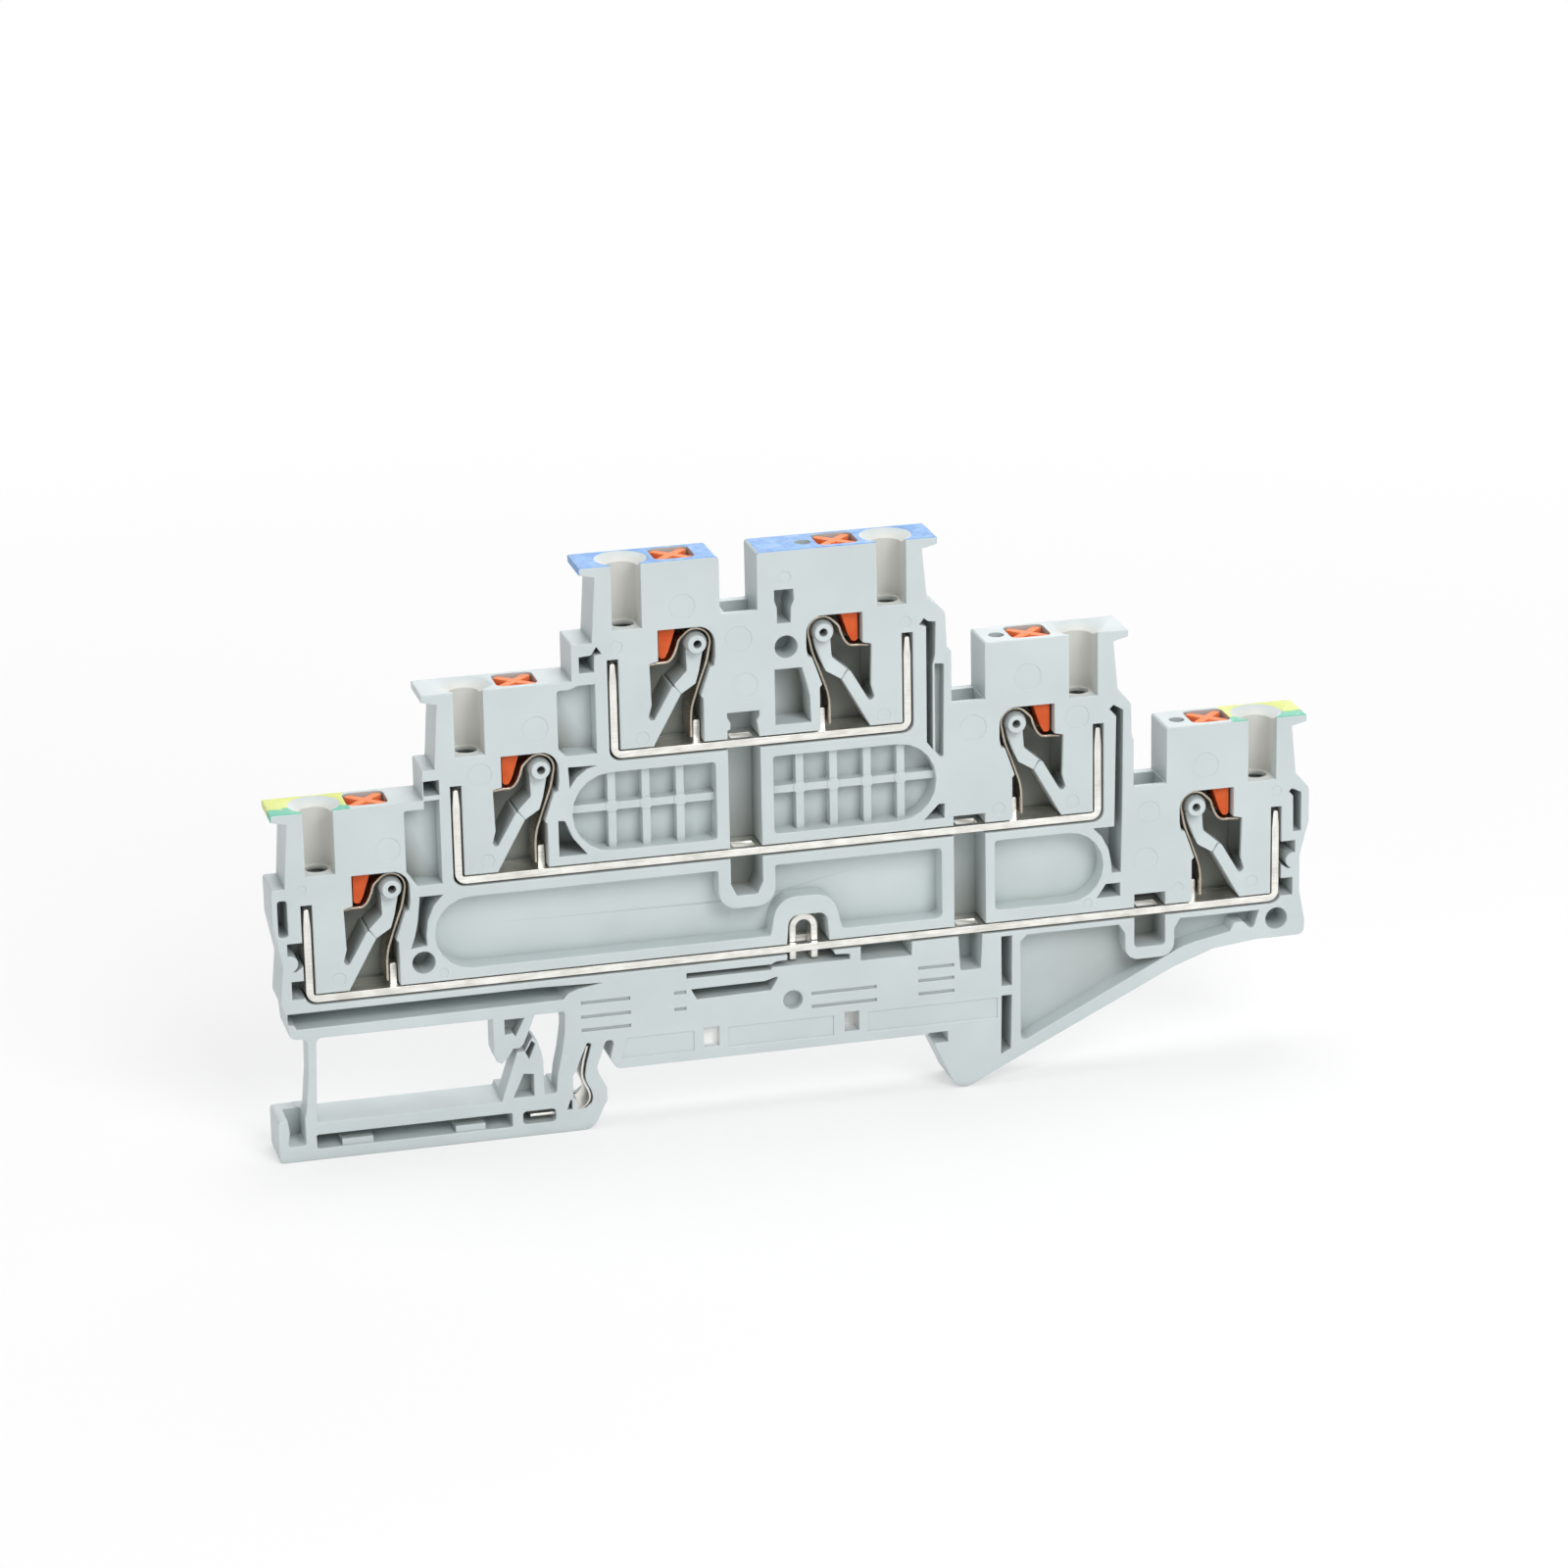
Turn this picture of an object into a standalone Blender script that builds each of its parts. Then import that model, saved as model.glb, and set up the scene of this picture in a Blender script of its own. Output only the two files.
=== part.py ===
"""Three level feed-through terminal block for a 35 mm mounting rail.

A thin moulded housing, open at its front, carries six push-in clamps on three
levels. Each level has one U-shaped busbar. The script builds every piece in
metres: X along the block, Y through its thickness, Z up. The origin lies on the
rail seat, in the middle of the rail and of the block's thickness.
"""

import math
from dataclasses import dataclass

import bmesh
import bpy

MM = 0.001

# Block and rail, in millimetres
BLOCK_WIDTH = 5.2
BACK_WALL = 0.9
RAIL_HALF = 17.7
RAIL_THICKNESS = 1.0
HOOK_REACH = 1.5
NOTCH_RELIEF = 0.12
CLEARANCE = 0.2
OVERCUT = 1.0
ARC_STEP = math.radians(18.0)

# Levels: height of each level's clamp ring, and the ring's place left and right
LOWER_RING_Z = 21.3
MIDDLE_RING_Z = 32.0
UPPER_RING_Z = 43.35
LOWER_RINGS_X = (-38.4, 43.95)
MIDDLE_RINGS_X = (-23.2, 25.1)
UPPER_RINGS_X = (-7.25, 5.45)

# Tower over each clamp, measured outward and up from the ring
TOWER_TOP = 8.75
TOWER_SIDE_TOP = 10.1
TOWER_SIDE_FOOT = 10.55
LIP_REACH = 11.6
LIP_THICKNESS = 0.75
LIP_SLOPE = 0.35
LEDGE_HEIGHT = 1.1
SHOULDER_HEIGHT = 2.6
PROBE_REACH = -1.4
PROBE_RADIUS = 0.8
PROBE_AXIS_DEPTH = 2.3
PROBE_DEPTH = 1.8

# Ring post and the slanting arm that carries it
RING_RADIUS = 1.12
RING_FACE_RADIUS = 0.9
RING_HOLE_RADIUS = 0.42
RING_HOLE_DEPTH = 2.0
ARM_RECESS = 1.2

# Wire funnel and wire chamber
FUNNEL_INNER = 5.5
FUNNEL_WIDTH = 2.95
FUNNEL_FOOT = 2.15
FUNNEL_AXIS_DEPTH = 2.3
FLARE_RADIUS = 2.6
FLARE_DEPTH = 0.75
CHAMBER_INNER = 4.5
CHAMBER_TOP = 1.7
CHAMBER_FOOT = -6.6
CHAMBER_BACK = 4.1
WIRE_BORE_RADIUS = 1.15
FRONT_SKIN = 0.5

# Push button
BUTTON_AXIS = 1.87
BUTTON_HALF_WIDTH = 1.85
BUTTON_FRONT = 0.85
BUTTON_BACK = 4.4
BUTTON_CORNER = 0.75
BUTTON_SINK = 0.15
BUTTON_HEAD_FOOT = 3.8
BUTTON_ARM_HALF = 0.42
BUTTON_HOLLOW_DEPTH = 0.65
STEM_FRONT = 0.95
STEM_BACK = 3.6
STEM_OUTER = 3.7
STEM_INNER = 2.05
STEM_TIP = -1.4
GUIDE_FOOT = 1.5

# Clamp spring
SPRING_THICKNESS = 0.25
SPRING_FRONT = 0.7
SPRING_BACK = 3.75
LOOP_RADIUS = 1.45
LOOP_OUT = 0.05
LOOP_UP = -0.02
SHELF_HEIGHT = -1.78
SHELF_TIP = 7.55

# Busbars
BAR_THICKNESS = 0.72
BAR_FRONT = 0.25
BAR_BACK = 3.75
BAR_DROP = 10.25
BAR_UPRIGHT = 8.15
BAR_UPRIGHT_TOP = -1.3
BAR_END_GAP = 0.5
BAR_TIP_LENGTH = 1.8
BAR_TIP_TAPER = 0.14
BAR_BEND_RADIUS = 1.1
BAR_TAB_HALF = 0.33
BAR_TAB_HEIGHT = 2.1
BAR_TAB_FRONT = 1.4
BAR_TAB_BACK = 3.0
BAR_HOLE_FRONT = 0.95
BAR_HOLE_BACK = 2.4
BAR_HOLE_WIDTH = 2.2

# Staple through the lowest busbar
STAPLE_LEFT = 1.6
STAPLE_RIGHT = 4.6
STAPLE_TOP = 14.05
STAPLE_THICKNESS = 0.75
STAPLE_FOOT = 9.25
STAPLE_FRONT = 1.0
STAPLE_BACK = 2.8
STAPLE_WELL_DEPTH = 4.2

# Jumper shafts
SHAFT_WIDTH = 3.25
SHAFT_BACK = 4.05
SHAFT_WINDOW_BACK = 4.0
UPPER_SHAFT_X = -2.8
MIDDLE_SHAFT_X = 20.15
LOWER_SHAFT_X = 39.05
SHAFT_WINDOW = 1.1
SHAFT_FLOOR = 2.9
SHAFT_GAP_HALF = SHAFT_WIDTH / 2 + 0.1

# Pockets in the front face
POCKET_DEPTH = 2.4
SIDE_PANEL_DEPTH = 1.45
SIDE_POCKET_DEPTH = 4.15
HATCH_DEPTH = 3.7
BORE_DEPTH = 3.6
BORE_RADIUS = 1.15
DIMPLE_RADIUS = 1.0
DIMPLE_DEPTH = 1.2
RIB_RECESS = 0.9
RIB_WIDTH = 0.8
RIB_PITCH = 3.45
RIB_START = 2.85
RIB_ROW_RISE = 0.27
WEB = 1.3
BAR_SHELF = 0.75
TROUGH_WALL = 1.0
GROOVE_DEPTH = 0.3
GROOVE_WIDTH = 0.3
PANEL_LOW = 1.05
PANEL_HIGH = 3.1
PANEL_DEPTH = 0.15
NICHE_LOW = 1.3
NICHE_HIGH = 3.35

# Rail foot
FOOT_DEPTH = 2.7
FOOT_TOP = -2.2
FOOT_UNDERSIDE = -6.15
FOOT_LEFT = -50.75
BODY_UNDERSIDE = 6.65

# Blade spring in the catch: its middle line through the foot
BLADE_PATH = [
    (-25.4, -4.15), (-20.9, -4.15), (-19.95, -3.95), (-19.4, -3.45), (-19.25, -2.8), (-19.4, -2.1),
    (-19.85, -1.1), (-20.0, -0.3), (-19.85, 0.9), (-19.4, 2.6),
]
BLADE_THICKNESS = 0.3
BLADE_FRONT = 0.5
BLADE_BACK = 4.2

FRONT = -BLOCK_WIDTH / 2
BACK = BLOCK_WIDTH / 2
DEEP = BLOCK_WIDTH - BACK_WALL


@dataclass(frozen=True)
class Clamp:
    """One clamp: its name, its ring's place and the side its wire comes from."""

    name: str
    ring_x: float
    ring_z: float
    side: int

    def at(self, out, up):
        """Point in the block's plane from a reach outward and a height over the ring."""
        return (self.ring_x + self.side * out, self.ring_z + up)

    def path(self, corners):
        """Corners given outward and up from the ring, as corners in the block's plane."""
        return [self.at(out, up) + tuple(rest) for out, up, *rest in corners]

    @property
    def bar_top(self):
        return self.ring_z - BAR_DROP


def clamp_pair(level, rings_x, ring_z):
    """The left and the right clamp of one level."""
    left, right = rings_x
    return (Clamp(f"{level}_left", left, ring_z, -1), Clamp(f"{level}_right", right, ring_z, 1))


LOWER = clamp_pair("lower", LOWER_RINGS_X, LOWER_RING_Z)
MIDDLE = clamp_pair("middle", MIDDLE_RINGS_X, MIDDLE_RING_Z)
UPPER = clamp_pair("upper", UPPER_RINGS_X, UPPER_RING_Z)
CLAMPS = LOWER + MIDDLE + UPPER


def arc(cx, cz, radius, start, end):
    """Points on an arc, with its ends; angles in radians."""
    count = max(2, math.ceil(abs(end - start) / ARC_STEP))
    angles = [start + (end - start) * i / count for i in range(count + 1)]
    return [(cx + radius * math.cos(a), cz + radius * math.sin(a)) for a in angles]


def rounded(corners):
    """Outline through the corners, with a fillet wherever a corner has a radius."""
    points = []
    count = len(corners)
    for i, corner in enumerate(corners):
        x, z = corner[:2]
        radius = corner[2] if len(corner) > 2 else 0.0
        if radius <= 0.0:
            points.append((x, z))
            continue
        px, pz = corners[i - 1][:2]
        nx, nz = corners[(i + 1) % count][:2]
        before = math.hypot(px - x, pz - z)
        after = math.hypot(nx - x, nz - z)
        ax, az = (px - x) / before, (pz - z) / before
        bx, bz = (nx - x) / after, (nz - z) / after
        half = math.acos(max(-1.0, min(1.0, ax * bx + az * bz))) / 2
        reach = min(radius / math.tan(half), 0.49 * before, 0.49 * after)
        radius = reach * math.tan(half)
        mx, mz = ax + bx, az + bz
        scale = radius / math.sin(half) / math.hypot(mx, mz)
        cx, cz = x + mx * scale, z + mz * scale
        start = math.atan2(z + az * reach - cz, x + ax * reach - cx)
        end = math.atan2(z + bz * reach - cz, x + bx * reach - cx)
        turn = (end - start + math.pi) % (2 * math.pi) - math.pi
        points.extend(arc(cx, cz, radius, start, start + turn))
    return points


def strip_outline(path, thickness, longer=0.0):
    """Outline of a bent strip: its middle line offset to both sides, its ends drawn out."""
    near, far = [], []
    last = len(path) - 1
    for i, (x, z) in enumerate(path):
        ax, az = path[max(i - 1, 0)]
        bx, bz = path[min(i + 1, last)]
        length = math.hypot(bx - ax, bz - az)
        ux, uz = (bx - ax) / length, (bz - az) / length
        shift = longer * ((i == last) - (i == 0))
        mx, mz = x + ux * shift, z + uz * shift
        near.append((mx - uz * thickness / 2, mz + ux * thickness / 2))
        far.append((mx + uz * thickness / 2, mz - ux * thickness / 2))
    return near + far[::-1]


def box(left, right, low, high, radius=0.0):
    """Corners of a rectangle in the block's plane."""
    return [(left, low, radius), (right, low, radius), (right, high, radius), (left, high, radius)]


def link(name, mesh, cutter=False):
    """New object in the scene; a cutter is drawn as wire and left out of renders."""
    item = bpy.data.objects.new(name, mesh)
    bpy.context.scene.collection.objects.link(item)
    if cutter:
        item.hide_render = True
        item.display_type = "WIRE"
    return item


def add_stack(bm, rings):
    """Closed solid from rings of points of equal count, each a station along the solid."""
    loops = [[bm.verts.new((x * MM, (FRONT + depth) * MM, z * MM)) for x, depth, z in ring] for ring in rings]
    bm.faces.new(loops[0][::-1])
    bm.faces.new(loops[-1])
    for first, second in zip(loops, loops[1:]):
        for i, vert in enumerate(first):
            following = (i + 1) % len(first)
            bm.faces.new((vert, first[following], second[following], second[i]))


def add_prism(bm, outline, near, far):
    """Closed prism of an outline in the block's plane between two depths, in millimetres."""
    add_stack(bm, [[(x, depth, z) for x, z in outline] for depth in (near, far)])


def add_upright(bm, plan, low, high):
    """Closed prism of a plan, given as places and depths, between two heights."""
    add_stack(bm, [[(x, depth, z) for x, depth in plan] for z in (low, high)])


def add_cone(bm, x, depth, stations):
    """Closed round solid standing on its end; each station is a height and a radius."""
    start = ARC_STEP / 2
    add_stack(bm, [[(px, py, z) for px, py in arc(x, depth, radius, start, start + 2 * math.pi)[:-1]]
                   for z, radius in stations])


def finish(bm, name, cutter=False):
    """Turn a bmesh into an object with its faces pointing out."""
    bmesh.ops.recalc_face_normals(bm, faces=bm.faces)
    mesh = bpy.data.meshes.new(name)
    bm.to_mesh(mesh)
    bm.free()
    return link(name, mesh, cutter)


def prism(name, outline, near, far, cutter=False):
    """Object made of one prism."""
    bm = bmesh.new()
    add_prism(bm, outline, near, far)
    return finish(bm, name, cutter)


def prisms(name, outlines, near, far, cutter=True):
    """One object of several prisms that don't meet."""
    bm = bmesh.new()
    for outline in outlines:
        add_prism(bm, outline, near, far)
    return finish(bm, name, cutter)


def combine(target, tool, operation):
    """Join the tool to the target or cut it away, then delete the tool."""
    modifier = target.modifiers.new("combine", "BOOLEAN")
    modifier.operation = operation
    modifier.solver = "EXACT"
    modifier.object = tool
    depsgraph = bpy.context.evaluated_depsgraph_get()
    result = bpy.data.meshes.new_from_object(target.evaluated_get(depsgraph))
    target.modifiers.remove(modifier)
    old = target.data
    target.data = result
    bpy.data.meshes.remove(old)
    mesh = tool.data
    bpy.data.objects.remove(tool)
    bpy.data.meshes.remove(mesh)


def cut(target, outlines, near, far):
    """Cut several prisms that don't meet out of the target in one go."""
    combine(target, prisms("cutter", outlines, near, far), "DIFFERENCE")


def material(name, colour, roughness, metallic=0.0):
    """Principled material of one piece."""
    made = bpy.data.materials.new(name)
    made.use_nodes = True
    shader = made.node_tree.nodes["Principled BSDF"]
    shader.inputs["Base Color"].default_value = (*colour, 1.0)
    shader.inputs["Roughness"].default_value = roughness
    shader.inputs["Metallic"].default_value = metallic
    return made


def dress(item, name, colour, roughness, metallic=0.0):
    """Name an object, weld it and give it its material."""
    item.name = name
    item.data.name = name
    bm = bmesh.new()
    bm.from_mesh(item.data)
    bmesh.ops.remove_doubles(bm, verts=bm.verts, dist=0.000002)
    bmesh.ops.dissolve_degenerate(bm, edges=bm.edges, dist=0.000002)
    loose = [edge for edge in bm.edges if not edge.link_faces]
    bmesh.ops.delete(bm, geom=loose, context="EDGES")
    bm.to_mesh(item.data)
    bm.free()
    item.data.materials.clear()
    item.data.materials.append(material(name, colour, roughness, metallic))
    return item


def bar_slot_outline(left, right):
    """Outline of the U-shaped slot that holds a level's busbar."""
    gap = CLEARANCE
    top = left.bar_top + gap
    low = left.bar_top - BAR_THICKNESS - gap
    reach_in = BAR_UPRIGHT - gap
    reach_out = BAR_UPRIGHT + BAR_THICKNESS + gap
    end = left.ring_z + BAR_UPRIGHT_TOP + BAR_END_GAP
    left_in, left_out = left.at(reach_in, 0)[0], left.at(reach_out, 0)[0]
    right_in, right_out = right.at(reach_in, 0)[0], right.at(reach_out, 0)[0]
    bend = BAR_BEND_RADIUS
    return rounded([
        (left_out, low, bend), (right_out, low, bend), (right_out, end), (right_in, end),
        (right_in, top), (left_in, top), (left_in, end), (left_out, end),
    ])


def tower_corners(clamp, ledge):
    """Corners of a tower's outer side, from its foot up over the lip to the top."""
    return clamp.path([
        (TOWER_SIDE_FOOT, ledge),
        (TOWER_SIDE_TOP, TOWER_TOP - LIP_THICKNESS - LIP_SLOPE),
        (LIP_REACH, TOWER_TOP - LIP_THICKNESS),
        (LIP_REACH + 0.05, TOWER_TOP, 0.15),
    ])


def housing_outline():
    """Outer outline of the housing with its rail foot, clockwise from the upper left tower."""
    tops = {clamp.name: clamp.ring_z + TOWER_TOP for clamp in CLAMPS}
    lower_left, lower_right = LOWER
    middle_left, middle_right = MIDDLE
    upper_left, upper_right = UPPER
    upper_floor = upper_left.ring_z + SHAFT_FLOOR
    middle_floor = middle_right.ring_z + SHAFT_FLOOR
    lower_floor = lower_right.ring_z + SHAFT_FLOOR
    gap_half = SHAFT_GAP_HALF
    corners = [(-19.9, upper_left.ring_z + LEDGE_HEIGHT, 0.2)]
    corners += tower_corners(upper_left, LEDGE_HEIGHT)
    corners += [
        (UPPER_SHAFT_X - gap_half - 0.4, tops["upper_left"], 0.5),
        (UPPER_SHAFT_X - gap_half - 0.4, upper_floor),
        (UPPER_SHAFT_X + gap_half - 0.1, upper_floor),
        (UPPER_SHAFT_X + gap_half - 0.1, tops["upper_right"], 0.3),
    ]
    corners += tower_corners(upper_right, SHOULDER_HEIGHT)[::-1]
    corners += [
        upper_right.at(12.4, 1.0) + (1.0,),
        upper_right.at(12.55, -2.6),
        (MIDDLE_SHAFT_X - gap_half, upper_right.ring_z - 3.1),
        (MIDDLE_SHAFT_X - gap_half, middle_floor),
        (MIDDLE_SHAFT_X + gap_half, middle_floor),
        (MIDDLE_SHAFT_X + gap_half, tops["middle_right"], 0.3),
    ]
    corners += tower_corners(middle_right, SHOULDER_HEIGHT)[::-1]
    corners += [
        middle_right.at(11.95, 1.0) + (1.0,),
        middle_right.at(12.0, -2.2),
        (LOWER_SHAFT_X - gap_half, middle_right.ring_z - 2.9),
        (LOWER_SHAFT_X - gap_half, lower_floor),
        (LOWER_SHAFT_X + gap_half, lower_floor),
        (LOWER_SHAFT_X + gap_half, tops["lower_right"], 0.3),
    ]
    corners += tower_corners(lower_right, SHOULDER_HEIGHT)[::-1]
    corners += [
        lower_right.at(12.0, 0.9) + (1.0,),
        lower_right.at(12.0, -2.6),
        lower_right.at(11.05, -6.2) + (2.0,),
        lower_right.at(11.05, -10.0) + (2.0,),
        (55.6, 8.0),
        (55.55, BODY_UNDERSIDE - 0.2, 0.8),
        (45.8, BODY_UNDERSIDE - 0.2, 20.0),
        (18.73, -6.6, 1.5),
        (RAIL_HALF - HOOK_REACH, -RAIL_THICKNESS, 0.2),
        (RAIL_HALF, -RAIL_THICKNESS),
        (RAIL_HALF, NOTCH_RELIEF),
        (RAIL_HALF - HOOK_REACH - 0.4, NOTCH_RELIEF),
        (RAIL_HALF - HOOK_REACH - 0.6, 0.0),
        (-16.5, 0.0, 0.6),
        (-17.2, 1.1, 0.3),
        (-16.75, 3.1, 0.35),
        (-17.6, 3.1, 0.35),
        (-18.55, 0.4, 0.5),
        (-18.4, -0.3, 0.3),
        (-17.6, -1.9, 1.0),
        (-17.6, -3.2, 1.0),
        (-19.1, FOOT_UNDERSIDE, 1.5),
        (FOOT_LEFT, FOOT_UNDERSIDE, 0.5),
        (FOOT_LEFT, FOOT_TOP + 0.45, 0.4),
        (-47.95, FOOT_TOP + 0.45, 0.8),
        (-47.5, 3.0, 8.0),
        (-47.45, BODY_UNDERSIDE, 0.6),
        (-49.2, BODY_UNDERSIDE + 0.1, 0.8),
    ]
    corners += [
        lower_left.at(11.0, -12.0) + (1.0,),
        lower_left.at(11.5, -10.8) + (1.0,),
        lower_left.at(11.1, -6.8) + (2.0,),
        lower_left.at(11.9, -2.6) + (1.0,),
        lower_left.at(11.9, LEDGE_HEIGHT) + (0.3,),
    ]
    corners += tower_corners(lower_left, LEDGE_HEIGHT)
    corners += [(-35.0, tops["lower_left"]), (-35.0, middle_left.ring_z + LEDGE_HEIGHT, 0.2)]
    corners += tower_corners(middle_left, LEDGE_HEIGHT)
    corners += [(-19.9, tops["middle_left"])]
    return rounded(corners)


def window_outline(clamp):
    """Outline of a clamp's cavity in the front face, down to the busbar."""
    side = -0.45
    corners = [
        (3.95, 1.75), (3.95, -1.38), (4.85, -1.6), (4.72, -5.8), (5.05, -7.0, 0.15), (4.85, -7.35, 0.15),
        (4.55, -7.35, 0.15), (1.75, -4.9), (4.74, -BAR_DROP), (side, -BAR_DROP), (side, -5.6),
        (-0.2, -5.3), (-0.75, -3.7), (-1.2, -2.45), (-1.6, -2.3), (-1.75, -1.4),
    ]
    loop = [(out, up) for out, up in arc(LOOP_OUT, LOOP_UP, LOOP_RADIUS + 0.35, math.pi, math.pi / 2 + 0.3)]
    return rounded(clamp.path(corners)) + [clamp.at(*point) for point in loop] + [clamp.at(-0.3, 1.75)]


def cut_windows(housing):
    """Open each clamp's cavity, leaving its ring post and arm standing in it."""
    for clamp in CLAMPS:
        cutter = prism("window", window_outline(clamp), -OVERCUT, DEEP, True)
        arm = prism("arm", rounded(clamp.path([
            (0.95, -0.7), (0.97, -2.8, 0.4), (2.4, -4.0), (1.74, -4.95), (0.25, -4.05), (-0.2, -3.0),
            (-0.62, -1.7), (-0.8, -0.7),
        ])), ARM_RECESS, BLOCK_WIDTH, True)
        combine(cutter, arm, "DIFFERENCE")
        rail = prism("lower arm", rounded(clamp.path([
            (2.55, -3.9, 0.3), (4.75, -7.75), (4.2, -8.8), (1.74, -4.95, 0.3),
        ])), -2 * OVERCUT, BLOCK_WIDTH, True)
        combine(cutter, rail, "DIFFERENCE")
        post_x, post_z = clamp.at(LOOP_OUT, LOOP_UP)
        post = ring_post(post_x, post_z)
        combine(cutter, post, "DIFFERENCE")
        combine(housing, cutter, "DIFFERENCE")
    holes = []
    for clamp in CLAMPS:
        x, z = clamp.at(0.0, 0.0)
        holes.append(arc(x, z, RING_HOLE_RADIUS, 0, 2 * math.pi)[:-1])
    cut(housing, holes, -OVERCUT, RING_HOLE_DEPTH)


def ring_post(x, z):
    """Round post with a tapered front, from just behind the front face to past the back."""
    bm = bmesh.new()
    stations = ((0.02, RING_FACE_RADIUS), (0.6, RING_RADIUS), (BLOCK_WIDTH, RING_RADIUS))
    add_stack(bm, [[(px, depth, pz) for px, pz in arc(x, z, radius, 0, 2 * math.pi)[:-1]]
                   for depth, radius in stations])
    return finish(bm, "post", True)


def cut_wire_ways(housing):
    """Funnels at the tower tops, the chambers under them and the button guides."""
    axis = FUNNEL_INNER + FUNNEL_WIDTH / 2
    radius = FUNNEL_WIDTH / 2
    chambers = []
    funnels = bmesh.new()
    bores = bmesh.new()
    flares = bmesh.new()
    guides = bmesh.new()
    for clamp in CLAMPS:
        chambers.append(rounded(clamp.path(box(CHAMBER_INNER, BAR_UPRIGHT, CHAMBER_FOOT, CHAMBER_TOP))))
        x = clamp.at(axis, 0)[0]
        foot = clamp.ring_z + FUNNEL_FOOT
        top = clamp.ring_z + TOWER_TOP
        back = arc(x, FUNNEL_AXIS_DEPTH, radius, math.pi, 0)
        plan = [(x - radius, -OVERCUT)] + back + [(x + radius, -OVERCUT)]
        add_upright(funnels, plan, foot, top + OVERCUT)
        add_cone(bores, x, FUNNEL_AXIS_DEPTH, (
            (clamp.ring_z + CHAMBER_TOP - 0.3, WIRE_BORE_RADIUS), (foot + 0.3, WIRE_BORE_RADIUS)))
        grow = (FLARE_RADIUS - radius) / FLARE_DEPTH
        add_cone(flares, x, FUNNEL_AXIS_DEPTH, (
            (top - FLARE_DEPTH - 0.2, radius - grow * 0.2), (top + OVERCUT, FLARE_RADIUS + grow * OVERCUT)))
        add_upright(guides, button_plan(clamp, CLEARANCE), clamp.ring_z + GUIDE_FOOT, top + OVERCUT)
    cut(housing, chambers, FRONT_SKIN, CHAMBER_BACK)
    for name, solid in (("funnels", funnels), ("bores", bores), ("flares", flares), ("guides", guides)):
        combine(housing, finish(solid, name, True), "DIFFERENCE")


def cut_probe_holes(housing):
    """Blind round holes for a test probe in the tops of the right towers."""
    holes = bmesh.new()
    for clamp in (LOWER[1], MIDDLE[1], UPPER[1]):
        x, top = clamp.at(PROBE_REACH, TOWER_TOP)
        stations = ((top - PROBE_DEPTH, PROBE_RADIUS), (top + OVERCUT, PROBE_RADIUS))
        add_cone(holes, x, PROBE_AXIS_DEPTH, stations)
    combine(housing, finish(holes, "probe holes", True), "DIFFERENCE")


def button_plan(clamp, wider=0.0):
    """Plan of a button's head, or of its guide when it is made wider."""
    x = clamp.at(BUTTON_AXIS, 0)[0]
    half = BUTTON_HALF_WIDTH + wider
    return rounded(box(x - half, x + half, BUTTON_FRONT - wider, BUTTON_BACK + wider, BUTTON_CORNER))


def cut_bar_slots(housing):
    """U-shaped slots for the busbars."""
    slots = [bar_slot_outline(left, right) for left, right in (LOWER, MIDDLE, UPPER)]
    cut(housing, slots, -OVERCUT, BAR_BACK + CLEARANCE)


def shaft_box(centre, low, high, width=SHAFT_WIDTH):
    """Outline of a length of jumper shaft."""
    return rounded(box(centre - width / 2, centre + width / 2, low, high))


def cut_jumper_shafts(housing):
    """Shafts for the jumpers, with their windows beside the busbars."""
    lower_top = LOWER[0].bar_top
    middle_top = MIDDLE[0].bar_top
    upper_top = UPPER[0].bar_top
    lower_low = lower_top - BAR_THICKNESS
    middle_low = middle_top - BAR_THICKNESS
    upper_low = upper_top - BAR_THICKNESS
    roof = UPPER_RING_Z + TOWER_TOP
    ways = [
        shaft_box(UPPER_SHAFT_X, upper_top, roof),
        shaft_box(MIDDLE_SHAFT_X, middle_top, UPPER_RING_Z),
        shaft_box(LOWER_SHAFT_X, lower_top, MIDDLE_RING_Z),
    ]
    cut(housing, ways, FRONT_SKIN, SHAFT_BACK)
    half = SHAFT_WIDTH / 2
    x = UPPER_SHAFT_X
    upper_window = rounded([
        (x - half, upper_top), (x + half, upper_top), (x + half - 0.3, upper_top + 1.9),
        (x + half, upper_top + 2.4), (x + half, upper_top + 2.9), (x - half, upper_top + 2.9),
        (x - half, upper_top + 2.4), (x - half + 0.3, upper_top + 1.9), (x - half + 0.3, upper_top + 1.2),
        (x - half, upper_top + 1.1),
    ])
    well = rounded([
        (x - 1.05, 16.95, 0.2), (x + 1.05, 16.95, 0.2), (x + half, 18.2), (x + half, middle_low),
        (x - half, middle_low), (x - half, 18.2),
    ])
    x = MIDDLE_SHAFT_X
    socket = rounded([
        (x - 1.05, 6.5, 0.2), (x + 1.05, 6.5, 0.2), (x + 1.25, lower_low), (x - 1.25, lower_low),
    ])
    x = LOWER_SHAFT_X
    trough = rounded([
        (x - half, 6.95, 0.4), (x + half, 6.95, 0.4), (x + half, lower_low), (x - half, lower_low),
    ])
    windows = [
        upper_window,
        shaft_box(UPPER_SHAFT_X, middle_top, upper_low),
        well,
        shaft_box(MIDDLE_SHAFT_X, middle_top, middle_top + SHAFT_WINDOW + 0.1),
        shaft_box(MIDDLE_SHAFT_X, lower_top, middle_low),
        socket,
        shaft_box(LOWER_SHAFT_X, lower_top, lower_top + SHAFT_WINDOW + 0.5),
        trough,
    ]
    cut(housing, windows, -OVERCUT, SHAFT_WINDOW_BACK)


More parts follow.
